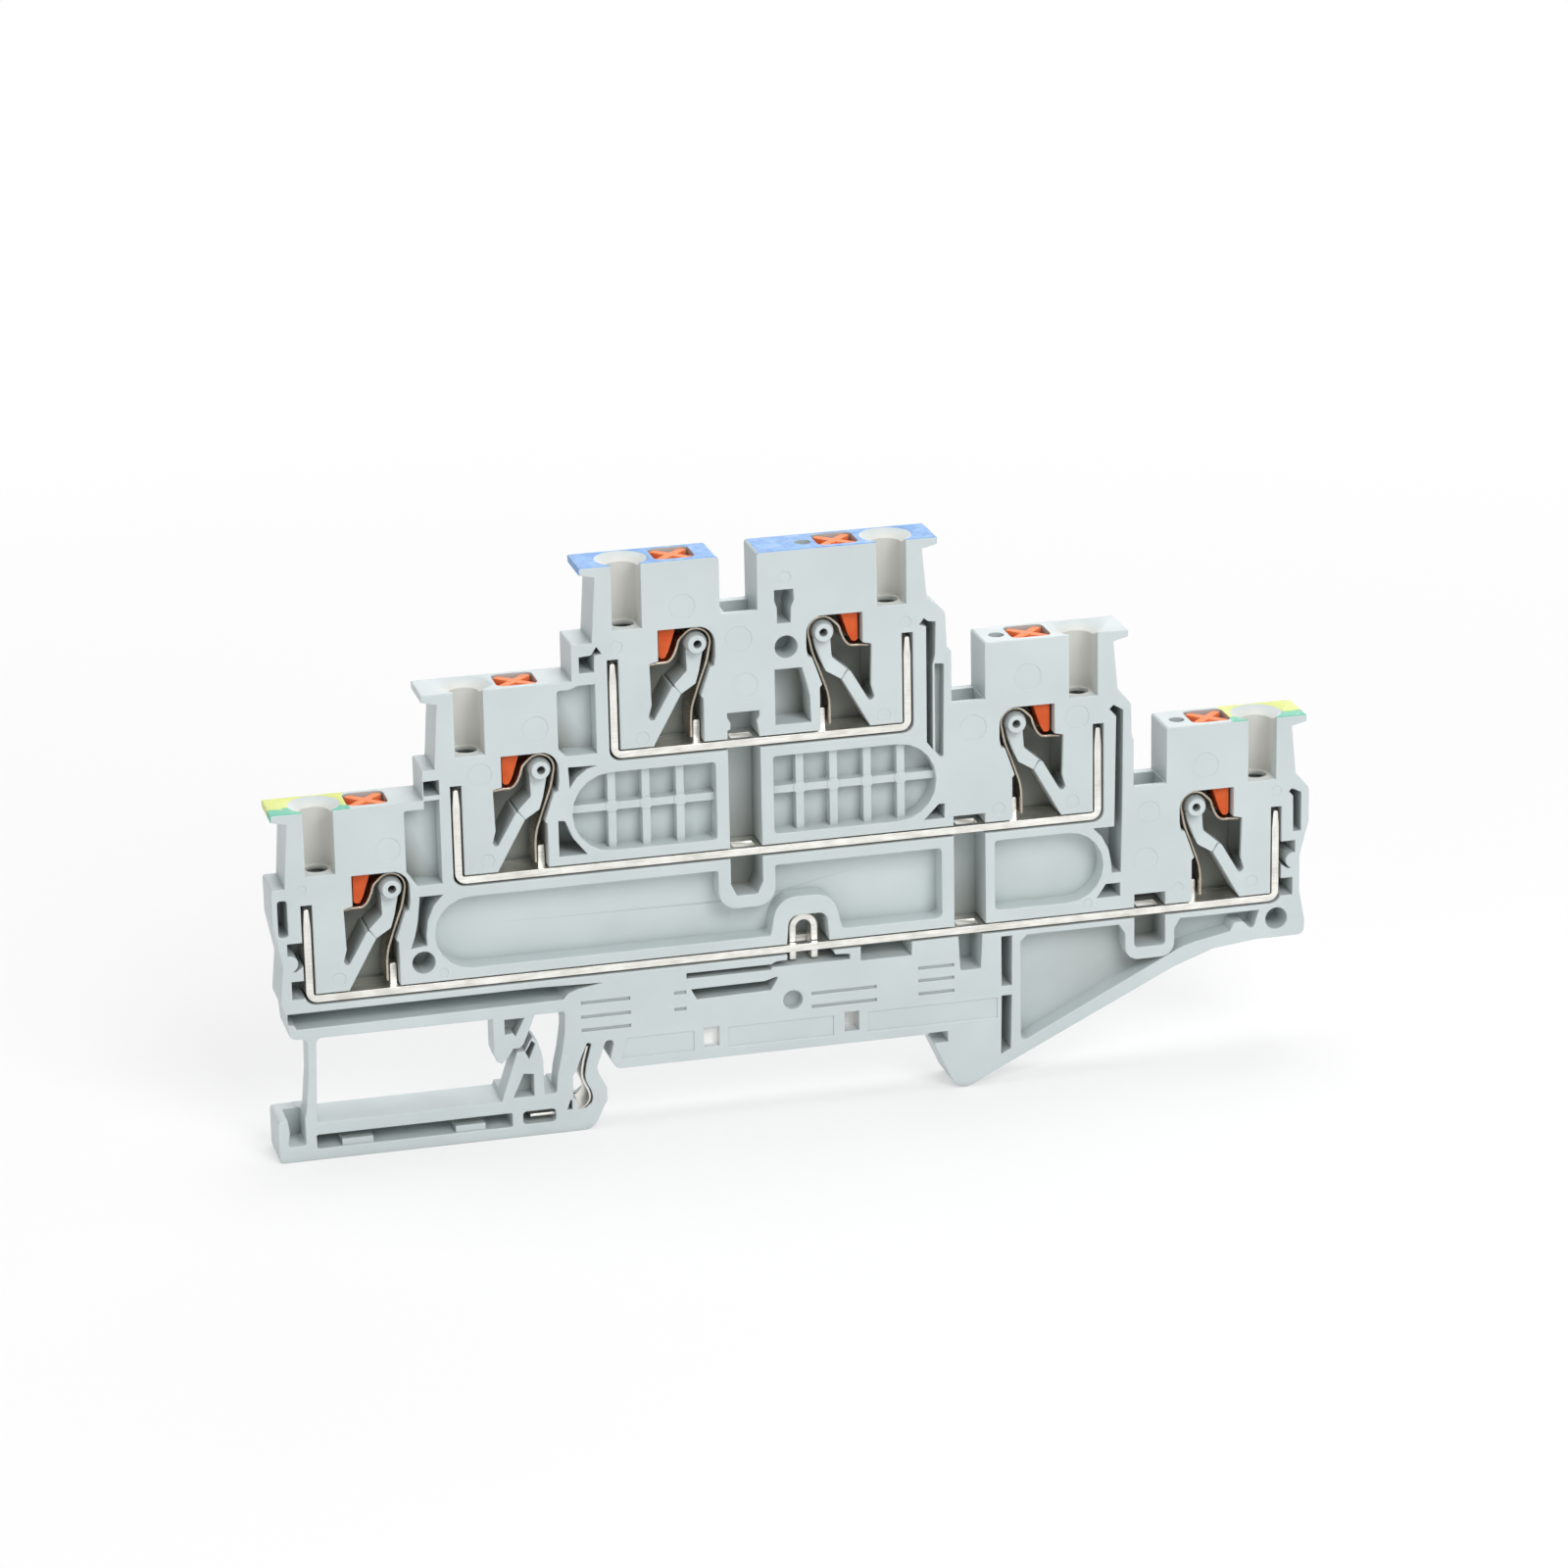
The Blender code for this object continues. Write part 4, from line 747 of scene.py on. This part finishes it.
@dataclass
class Housing:
    """The moulded housing with its rail foot, and the marking ink on its tower tops.

    Out and up are a clamp's own. A niche is given by its left and right end and the
    depth of its floor, a shaft by its left and right end, its foot and its top, and a
    painted shade by two depths and its share at each. The ink's rise is the least
    upward part of an inked face's normal, at the rounded rim and inside it.
    """

    merge: float = 0.012
    smooth_below: float = 35.0
    slack: float = 0.05
    neck_down: Pair = (1.5, 4.4)
    neck_depths: Pair = (1.2, 0.15)
    cavity_out: Pair = (-2.6, 7.9)
    cavity_up: Pair = (-10.4, 2.05)
    # Painted shade in the cavities and shafts: two depths and its share at each
    cavity_painted_shade: Pairs = ((0.3, 2.5), (0.0, 0.88))
    shaft_painted_shade: Pairs = ((0.6, 3.6), (0.0, 0.7))
    funnel_axis: float = 6.975
    funnel_half: float = 2.7
    funnel_up: Pair = (2.1, 8.7)
    # Painted light in the funnels, and how far they are spared the painted corner shade
    funnel_painted_light: float = 0.85
    funnel_corner_shade_off: float = 0.7
    walls: Pair = (0.13, 4.5)
    niche_z: Pair = (1.25, 3.4)
    niches: tuple[Triple, ...] = ((-7.55, -6.0, 1.1), (6.95, 8.45, 2.0))
    shafts: tuple[Quad, ...] = (
        (-4.5, -1.1, 14.0, 32.2), (18.4, 21.9, 8.5, 20.8), (35.0, 41.0, 5.0, 11.5))
    ink_out: Pair = (-8.5, 13.0)
    ink_above: float = 0.2
    ink_below: float = 0.25
    ink_rise: Pair = (0.3, 0.9)
    lip_out: float = 11.3
    lip_drop: float = 0.8
    lip_turn: float = 0.5
    rim_y: float = 2.45

    def build(self, finish: Material) -> Object:
        """Copy the solid, round its front and back, and mark its inks and its painted shade and
        light.
        """
        piece = copied_node("housing", "moulded_housing", "block", self.merge)
        self.reshape(piece.data)
        shade_by_angle(piece, self.smooth_below)
        normals = piece.modifiers.new("weighted_normals", "WEIGHTED_NORMAL")
        normals.keep_sharp = True
        self.mark_ink(piece.data)
        self.mark_hollows(piece.data)
        piece.data.materials.append(finish)
        return piece

    def reshape(self, mesh: Mesh) -> None:
        """Raise the arms' necks and rebuild the mesh with rounded edges at front and back."""
        points = vectors(mesh.vertices, "co") / MM
        mesh.calc_loop_triangles()
        triangles = vectors(mesh.loop_triangles, "vertices").astype(int)
        for clamp in CLAMPS:
            out, up = clamp.seen(points)
            recessed = np.abs(points[:, 1] - FRONT - self.neck_depths[0]) < self.slack
            arm = self.in_cavity(out, up) & recessed
            points[arm, 1] = FRONT + self.neck_floor(up[arm])
        points, triangles = FlatSide(FRONT, -1).rounded(points, triangles, PINS)
        points, triangles = FlatSide(CAD_BOX[1][1] / MM, 1).rounded(points, triangles, PINS[:0])
        mesh.clear_geometry()
        mesh.from_pydata((points * MM).tolist(), [], triangles.tolist())
        mesh.validate()

    def in_cavity(self, out: Array, up: Array) -> Array:
        """Which points lie in a clamp's cavity."""
        return between(out, self.cavity_out) & between(up, self.cavity_up)

    def neck_floor(self, up: Array) -> Array:
        """Depth of an arm's recess, which rises evenly from the ring down to the knee."""
        return np.interp(-up, self.neck_down, self.neck_depths)

    def mark_ink(self, mesh: Mesh) -> None:
        """Write each ink's share on every face, and the way past the button on every point."""
        centres = vectors(mesh.polygons, "center") / MM
        normals = vectors(mesh.polygons, "normal")
        for level, ink in ((Level.UPPER, "ink_blue"), (Level.LOWER, "ink_earth")):
            left, right = (self.inked(Clamp(level, side), centres, normals) for side in Side)
            write_share(mesh, ink, "FACE", left | right)
        x = vectors(mesh.vertices, "co")[:, 0] / MM
        left = Clamp(Level.LOWER, Side.LEFT).button_box[0, 0]
        right = Clamp(Level.LOWER, Side.RIGHT).button_box[1, 0]
        write_share(mesh, "ink_past", "POINT", np.where(x < 0.0, left - x, x - right))

    def inked(self, clamp: Clamp, centres: Array, normals: Array) -> Array:
        """Faces of one tower top that carry ink: those that look up, and the lip's end."""
        top = clamp.ring_z + Clamp.TOWER_TOP
        out, _ = clamp.seen(centres)
        height = centres[:, 2]
        near = between(out, self.ink_out) & (height < top + self.ink_above)
        rim = np.abs(centres[:, 1]) > self.rim_y
        rise = np.where(rim, *self.ink_rise)
        upward = (height > top - self.ink_below) & (normals[:, 2] > rise)
        end = (out > self.lip_out) & (normals[:, 0] * clamp.side.value > self.lip_turn)
        return near & (upward | (end & (height > top - self.lip_drop)))

    def mark_hollows(self, mesh: Mesh) -> None:
        """Write on every point how much of each tone it has.

        Cavities and shafts get painted shade, which grows with the depth, funnels painted
        light and niches their own painted light. A last share keeps the corners of the
        arms, funnels and niches free of the painted corner shade.
        """
        points = vectors(mesh.vertices, "co") / MM
        x, y, z = points.T
        depth = y - FRONT
        inside = between(depth, self.walls)
        hollow, painted_funnel_light, corner_shade_off, painted_niche_light = np.zeros((4, len(x)))
        # Painted shade in the shafts, darker with depth
        for left, right, foot, top in self.shafts:
            shaft = between(x, (left, right)) & between(z, (foot, top)) & inside
            hollow = np.where(shaft, np.interp(depth, *self.shaft_painted_shade), hollow)
        for clamp in CLAMPS:
            out, up = clamp.seen(points)
            cavity = self.in_cavity(out, up) & inside
            arm = cavity & (np.abs(depth - self.neck_floor(up)) < self.slack)
            # Painted shade in the cavities, darker with depth, but not on the arms' floors
            hollow = np.where(cavity & ~arm, np.interp(depth, *self.cavity_painted_shade), hollow)
            # Painted light in the wire funnels
            funnel = (np.abs(out - self.funnel_axis) < self.funnel_half) & inside
            funnel &= between(up, self.funnel_up)
            painted_funnel_light = np.where(funnel, self.funnel_painted_light, painted_funnel_light)
            corner_shade_off = np.where(arm, 1.0, np.where(funnel, self.funnel_corner_shade_off, corner_shade_off))
        # Painted light on the floors of the niches
        for left, right, floor in self.niches:
            here = between(x, (left - self.slack, right + self.slack)) & between(z, self.niche_z)
            painted_niche_light = np.where(here & (np.abs(depth - floor) < self.slack), 1.0, painted_niche_light)
        corner_shade_off = np.maximum(corner_shade_off, painted_niche_light)
        for name, share in zip(("hollow", "painted_funnel_light", "painted_niche_light", "corner_shade_off"), (hollow, painted_funnel_light, painted_niche_light, corner_shade_off)):
            write_share(mesh, name, "POINT", share)


@dataclass
class RibBosses:
    """Low round bosses where the ribs of the two middle pockets cross.

    Each boss is a profile (r, depth) carried round its axis: x0 + r cos t, z0 + r sin t,
    t over a full turn. The profile's edge is a quarter circle, and it ends at a tiny
    radius near the axis.
    """

    places: tuple[float, ...] = (-16.075, -12.625, -9.175, 2.975, 6.425, 9.875, 13.325)
    height: float = 27.335
    radius: float = 0.68
    hub: float = 0.02
    top: float = 0.8
    foot: float = 2.38
    edge: float = 0.1
    edge_points: int = 4
    around: int = 28

    def build(self, finish: Material) -> Object:
        """Make all bosses as one piece."""
        turn = np.linspace(0.0, QUARTER_TURN, self.edge_points)
        profile = np.vstack([
            [(self.hub, self.top)],
            np.column_stack([self.radius - self.edge * (1.0 - np.sin(turn)),
                             self.top + self.edge * (1.0 - np.cos(turn))]),
            [(self.radius, self.foot), (self.hub, self.foot)]])
        angle = np.linspace(0.0, FULL_TURN, self.around, endpoint=False)
        points = np.empty((len(self.places), len(profile), self.around, 3))
        points[..., 0] = (np.array(self.places)[:, None, None]
                          + profile[None, :, None, 0] * np.cos(angle))
        points[..., 1] = FRONT + profile[None, :, None, 1]
        points[..., 2] = self.height + profile[None, :, None, 0] * np.sin(angle)
        faces = []
        for start in range(0, points.size // 3, len(profile) * self.around):
            faces += ring_faces(len(profile), self.around, start)
        piece = added("rib_bosses", closed_mesh("rib_bosses", points, faces))
        piece.data.materials.append(finish)
        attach(piece, "block")
        return piece


@dataclass(frozen=True)
class Strip:
    """Flat strip bent along a smooth path in the block's plane, with rounded edges.

    The path is P(s), a curve through its given points, with the unit normal N(s). The
    section is a rounded rectangle (a(t), b(t)), t over a full turn. The surface is
    P(s) + a(t) N(s) + b(t) Y, closed by a flat cap at each end.
    """

    path: Pairs
    thickness: float
    front: float
    back: float
    edge: float
    stations: int
    samples: int = 24
    edge_points: int = 4

    def curve(self) -> Array:
        """Evenly spaced points of a Catmull-Rom curve through the path's points."""
        given = np.array(self.path)
        padded = np.vstack([2 * given[0] - given[1], given, 2 * given[-1] - given[-2]])
        t = np.linspace(0.0, 1.0, self.samples, endpoint=False)[:, None]
        pieces = []
        for a, b, c, d in zip(padded, padded[1:], padded[2:], padded[3:]):
            pieces.append(0.5 * (2 * b + (c - a) * t + (2 * a - 5 * b + 4 * c - d) * t ** 2
                                 + (3 * b - a - 3 * c + d) * t ** 3))
        fine = np.vstack(pieces + [given[-1:]])
        steps = np.linalg.norm(np.diff(fine, axis=0), axis=1)
        run = np.concatenate([[0.0], np.cumsum(steps)])
        even = np.linspace(0.0, run[-1], self.stations)
        return np.column_stack([np.interp(even, run, fine[:, axis]) for axis in (0, 1)])

    def section(self) -> Array:
        """Rounded rectangle: four quarter circles of the edge radius at its corners."""
        turn = np.linspace(0.0, QUARTER_TURN, self.edge_points)
        wide = 0.5 * self.thickness - self.edge
        deep = 0.5 * (self.back - self.front) - self.edge
        corners = []
        for quarter, (a, b) in enumerate(
                ((wide, deep), (-wide, deep), (-wide, -deep), (wide, -deep))):
            angle = turn + quarter * QUARTER_TURN
            corners.append(np.column_stack([a + self.edge * np.cos(angle),
                                            b + self.edge * np.sin(angle)]))
        return np.vstack(corners)

    def mesh(self, name: str) -> Mesh:
        """Sweep the section along the curve and close both ends."""
        line = self.curve()
        tangent = np.gradient(line, axis=0)
        tangent /= np.linalg.norm(tangent, axis=1)[:, None]
        normal = np.column_stack([-tangent[:, 1], tangent[:, 0]])
        a, b = self.section().T
        points = np.empty((len(line), len(a), 3))
        points[:, :, 0] = line[:, None, 0] + normal[:, None, 0] * a
        points[:, :, 1] = FRONT + 0.5 * (self.front + self.back) + b
        points[:, :, 2] = line[:, None, 1] + normal[:, None, 1] * a
        return closed_mesh(name, points, ring_faces(len(line), len(a)))

    def build(self, name: str, node: str, slot: str, finish: Material) -> Object:
        """Make the piece that stands for a CAD node, and hide the node.

        Args:
            name: Name of the piece.
            node: CAD node that it stands for.
            slot: Not used.
            finish: Material of the strip.

        Returns:
            The piece.
        """
        piece = added(name, self.mesh(name))
        piece.data.materials.append(finish)
        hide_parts(node)
        return piece


@dataclass
class ClampSpring:
    """Leaf spring round a clamp's ring: a leg down to the busbar, a shelf under the stem.

    The middle line runs out and up from the ring: leg, loop (r cos t, r sin t) round a
    point next to the ring's middle, bend and shelf.
    """

    clamp: Clamp
    thickness: float = 0.25
    front: float = 0.7
    back: float = 3.75
    edge: float = 0.07
    stations: int = 150
    leg: Pairs = (
        (0.68, -9.65), (0.66, -7.6), (0.5, -6.4), (0.15, -5.3), (-0.4, -3.75), (-1.0, -2.1))
    loop_centre: Pair = (0.05, -0.02)
    loop_radius: float = 1.45
    loop_degrees: Pair = (195.0, 40.0)
    loop_points: int = 10
    bend: Pairs = ((1.7, 0.35), (1.95, -0.4), (2.25, -1.1), (2.6, -1.55))
    shelf: Pairs = ((3.05, 0.0), (4.2, -0.05), (5.9, -0.32), (7.5, -0.58))
    shelf_up: float = -1.78
    blend_out: Pair = (0.9, 3.1)
    blend_up: float = 1.0

    def corners(self) -> list[Pair]:
        """Points of the middle line."""
        out, up = self.loop_centre
        turns = np.radians(np.linspace(*self.loop_degrees, self.loop_points))
        loop = [(out + self.loop_radius * math.cos(turn), up + self.loop_radius * math.sin(turn))
                for turn in turns]
        shelf = [(place, self.shelf_up + rise) for place, rise in self.shelf]
        return [*self.leg, *loop, *self.bend, *shelf]

    def build(self, finish: Material) -> Object:
        """Sweep the spring."""
        place = self.clamp.place
        strip = Strip(self.clamp.path(self.corners()), self.thickness, self.front, self.back,
                      self.edge, self.stations)
        piece = strip.build(f"leaf_spring_{place}", f"clamp_spring_{place}", "spring_steel",
                            finish)
        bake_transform(piece)
        return piece


@dataclass
class Staple:
    """Round-backed staple that stands in the lowest busbar: two legs and a half circle."""

    thickness: float = 0.75
    edge: float = 0.16
    stations: int = 90
    bow_points: int = 13
    leg_points: int = 3

    def build(self, finish: Material) -> Object:
        """Sweep the staple inside its solid's box."""
        low, high = np.array(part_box("staple_contact")) / MM
        left, right = low[0] + self.thickness / 2, high[0] - self.thickness / 2
        radius = (right - left) / 2
        turns = np.linspace(math.pi, 0.0, self.bow_points)
        bow = [((left + right) / 2 + radius * math.cos(turn),
                high[2] - self.thickness / 2 - radius + radius * math.sin(turn))
               for turn in turns]
        legs = np.linspace(low[2], bow[0][1], self.leg_points, endpoint=False)
        path = [(left, z) for z in legs] + bow + [(right, z) for z in legs[::-1]]
        strip = Strip(tuple(path), self.thickness, low[1] - FRONT, high[1] - FRONT, self.edge,
                      self.stations)
        piece = strip.build("tinned_staple", "staple_contact", "busbar", finish)
        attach(piece, "block")
        return piece


@dataclass
class BladeSpring:
    """Thin blade in the foot's catch: flat under the latch window, round and up the slot."""

    thickness: float = 0.3
    edge: float = 0.08
    stations: int = 90
    path: Pairs = (
        (-25.4, -4.15), (-23.2, -4.15), (-20.9, -4.15), (-19.95, -3.95), (-19.4, -3.45),
        (-19.25, -2.8), (-19.4, -2.1), (-19.85, -1.1), (-20.0, -0.3), (-19.85, 0.9),
        (-19.4, 2.6))

    def build(self, finish: Material) -> Object:
        """Sweep the blade between its solid's front and back."""
        low, high = np.array(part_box("catch_spring")) / MM
        strip = Strip(self.path, self.thickness, low[1] - FRONT, high[1] - FRONT, self.edge,
                      self.stations)
        piece = strip.build("blade_spring", "catch_spring", "spring_steel", finish)
        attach(piece, "block")
        return piece


@dataclass
class PushButton:
    """Push button: a square head with a raised cross, and a stem onto the spring."""

    clamp: Clamp
    edge: float = 0.1
    head_drop: float = 0.7

    def build(self, finish: Material) -> Object:
        """Copy the solid, round its edges and mark how near each point is to the head's top, for
        its painted light.
        """
        place = self.clamp.place
        piece = copied_node(f"push_button_{place}", f"button_cap_{place}", f"button_{place}")
        bevelled(piece, self.edge)
        height = vectors(piece.data.vertices, "co")[:, 2] / MM
        # Share of the painted light, growing towards the head's top
        head = ((height - height.max() + self.head_drop) / self.head_drop).clip(0.0, 1.0)
        write_share(piece.data, "head", "POINT", head)
        piece.data.materials.append(finish)
        return piece


@dataclass
class Busbar:
    """One level's U-shaped busbar."""

    level: Level
    edge: float = 0.08
    upright_width: float = 0.9
    upright_foot: float = 1.2

    def build(self, finish: Material) -> Object:
        """Copy the solid, round its edges and mark its ends, where the rolling lines stand."""
        level = self.level.value
        piece = copied_node(f"busbar_{level}", f"tinned_bar_{level}", "block")
        bevelled(piece, self.edge)
        x, _, z = vectors(piece.data.vertices, "co").T / MM
        ends = (x < x.min() + self.upright_width) | (x > x.max() - self.upright_width)
        write_share(piece.data, "upright", "POINT", ends & (z > z.min() + self.upright_foot))
        piece.data.materials.append(finish)
        return piece


@dataclass(frozen=True)
class SoftLamp:
    """Square area lamp, placed from the middle of the block and turned to it."""

    name: str
    place: Triple
    size: float
    power: float

    def build(self) -> None:
        """Make the lamp."""
        data = bpy.data.lights.new(self.name, "AREA")
        data.shape = "SQUARE"
        data.size = self.size
        data.energy = self.power
        lamp = added(self.name, data)
        lamp.location = np.mean(CAD_BOX, axis=0) + self.place
        lamp.rotation_mode = "QUATERNION"
        lamp.rotation_quaternion = (-Vector(self.place)).to_track_quat("-Z", "Y")


@dataclass
class Studio:
    """White floor, soft lamps and a world that the camera sees as white, all in metres.

    The floor keeps part of the block's shadow close to it and turns to pure white
    further away, between two distances from the frame's origin.
    """

    floor_half: float = 4.0
    shadow_share: float = 0.5
    shadow_reach: Pair = (0.08, 0.30)
    world_level: float = 0.34
    lamps: tuple[SoftLamp, ...] = (
        SoftLamp("key", (0.14, -0.52, 0.42), 0.34, 2.3),
        SoftLamp("fill", (-0.5, -0.45, 0.18), 0.40, 0.5),
        SoftLamp("top", (0.04, 0.10, 0.60), 0.45, 1.75),
        SoftLamp("back", (0.25, 0.60, 0.25), 0.40, 0.8))

    def build(self) -> None:
        """Make the floor, the world and the lamps."""
        self.floor()
        self.world()
        for lamp in self.lamps:
            lamp.build()

    def seen(self, tree: NodeTree) -> NodeSocket:
        """One for rays from the camera, in mirrors and through glass, else zero."""
        rays = add_node(tree, "LightPath").node.outputs
        direct = add_node(tree, "Math", {
            0: rays["Is Camera Ray"], 1: rays["Is Glossy Ray"]}, operation="MAXIMUM")
        return add_node(tree, "Math", {
            0: direct, 1: rays["Is Transmission Ray"]}, operation="MAXIMUM")

    def floor(self) -> None:
        """Square floor that the block stands on."""
        corners = np.array([(-1, -1), (1, -1), (1, 1), (-1, 1)]) * self.floor_half
        points = np.column_stack([corners, np.full(4, CAD_BOX[0][2])])
        mesh = bpy.data.meshes.new("studio_floor")
        mesh.from_pydata(points.tolist(), [], [(0, 1, 2, 3)])
        floor = added("studio_floor", mesh)
        made, tree, shader = new_material("studio_paper_white")
        set_inputs(tree, shader, {
            "Base Color": linear("#F7F7F7"), "Roughness": 0.9, "Specular IOR Level": 0.0})
        paper = shader.outputs[0]
        place = add_node(tree, "TexCoord", out="Object")
        away = add_node(tree, "VectorMath", {0: place}, "Value", operation="LENGTH")
        near = add_node(tree, "MapRange", {
            "Value": away, "From Min": self.shadow_reach[0], "From Max": self.shadow_reach[1],
            "To Min": self.shadow_share, "To Max": 0.0}, interpolation_type="SMOOTHSTEP")
        glow = add_node(tree, "Emission", {"Color": WHITE, "Strength": 1.0})
        backdrop = add_node(tree, "MixShader", {0: near, 1: glow, 2: paper})
        either = add_node(tree, "MixShader", {0: self.seen(tree), 1: paper, 2: backdrop})
        set_inputs(tree, tree.nodes["Material Output"], {"Surface": either})
        mesh.materials.append(made)

    def world(self) -> None:
        """World that lights softly and shows white to the camera and in mirrors."""
        world = bpy.data.worlds.new("studio_world")
        bpy.context.scene.world = world
        world.use_nodes = True
        tree = world.node_tree
        level = add_node(tree, "MapRange", {
            "Value": self.seen(tree), "To Min": self.world_level, "To Max": 1.0})
        set_inputs(tree, tree.nodes["Background"], {"Color": WHITE, "Strength": level})


@dataclass(frozen=True)
class PhotoCamera:
    """Camera at the photograph's angle, low and a little to the left of the open front."""

    place: Triple = (-124.637, -508.860, 203.601)
    azimuth: float = -13.953
    elevation: float = 18.590
    roll: float = -1.1328
    lens: float = 128.05
    sensor: float = 36.0
    nearest: float = 0.01

    def build(self) -> None:
        """Make the camera and give it to the scene."""
        data = bpy.data.cameras.new("photo_camera")
        data.sensor_width = self.sensor
        data.lens = self.lens
        data.clip_start = self.nearest
        camera = added("photo_camera", data)
        turn = (Matrix.Rotation(math.radians(self.azimuth), 4, "Z")
                @ Matrix.Rotation(math.radians(90.0 - self.elevation), 4, "X")
                @ Matrix.Rotation(math.radians(self.roll), 4, "Z"))
        camera.matrix_world = Matrix.Translation([value * MM for value in self.place]) @ turn
        bpy.context.scene.camera = camera


def main() -> None:
    """Build the studio and every piece of the block."""
    logging.basicConfig(level=logging.INFO, format="%(name)s: %(message)s")
    bpy.context.scene.view_settings.view_transform = "Standard"
    PhotoCamera().build()
    Studio().build()
    tinned = TINNED_COPPER.make()
    steel = SPRING_STEEL.make()
    orange = MouldedOrangePlastic().make()
    polyamide = MouldedPolyamide().make()
    pieces = [Housing().build(polyamide), RibBosses().build(polyamide)]
    pieces += [PushButton(clamp).build(orange) for clamp in CLAMPS]
    pieces += [ClampSpring(clamp).build(steel) for clamp in CLAMPS]
    pieces += [Busbar(level).build(tinned) for level in Level]
    pieces += [Staple().build(tinned), BladeSpring().build(BLADE_STEEL.make())]
    for piece in pieces:
        LOG.info("%s: %d faces", piece.name, len(piece.data.polygons))


if __name__ == "__main__":
    main()
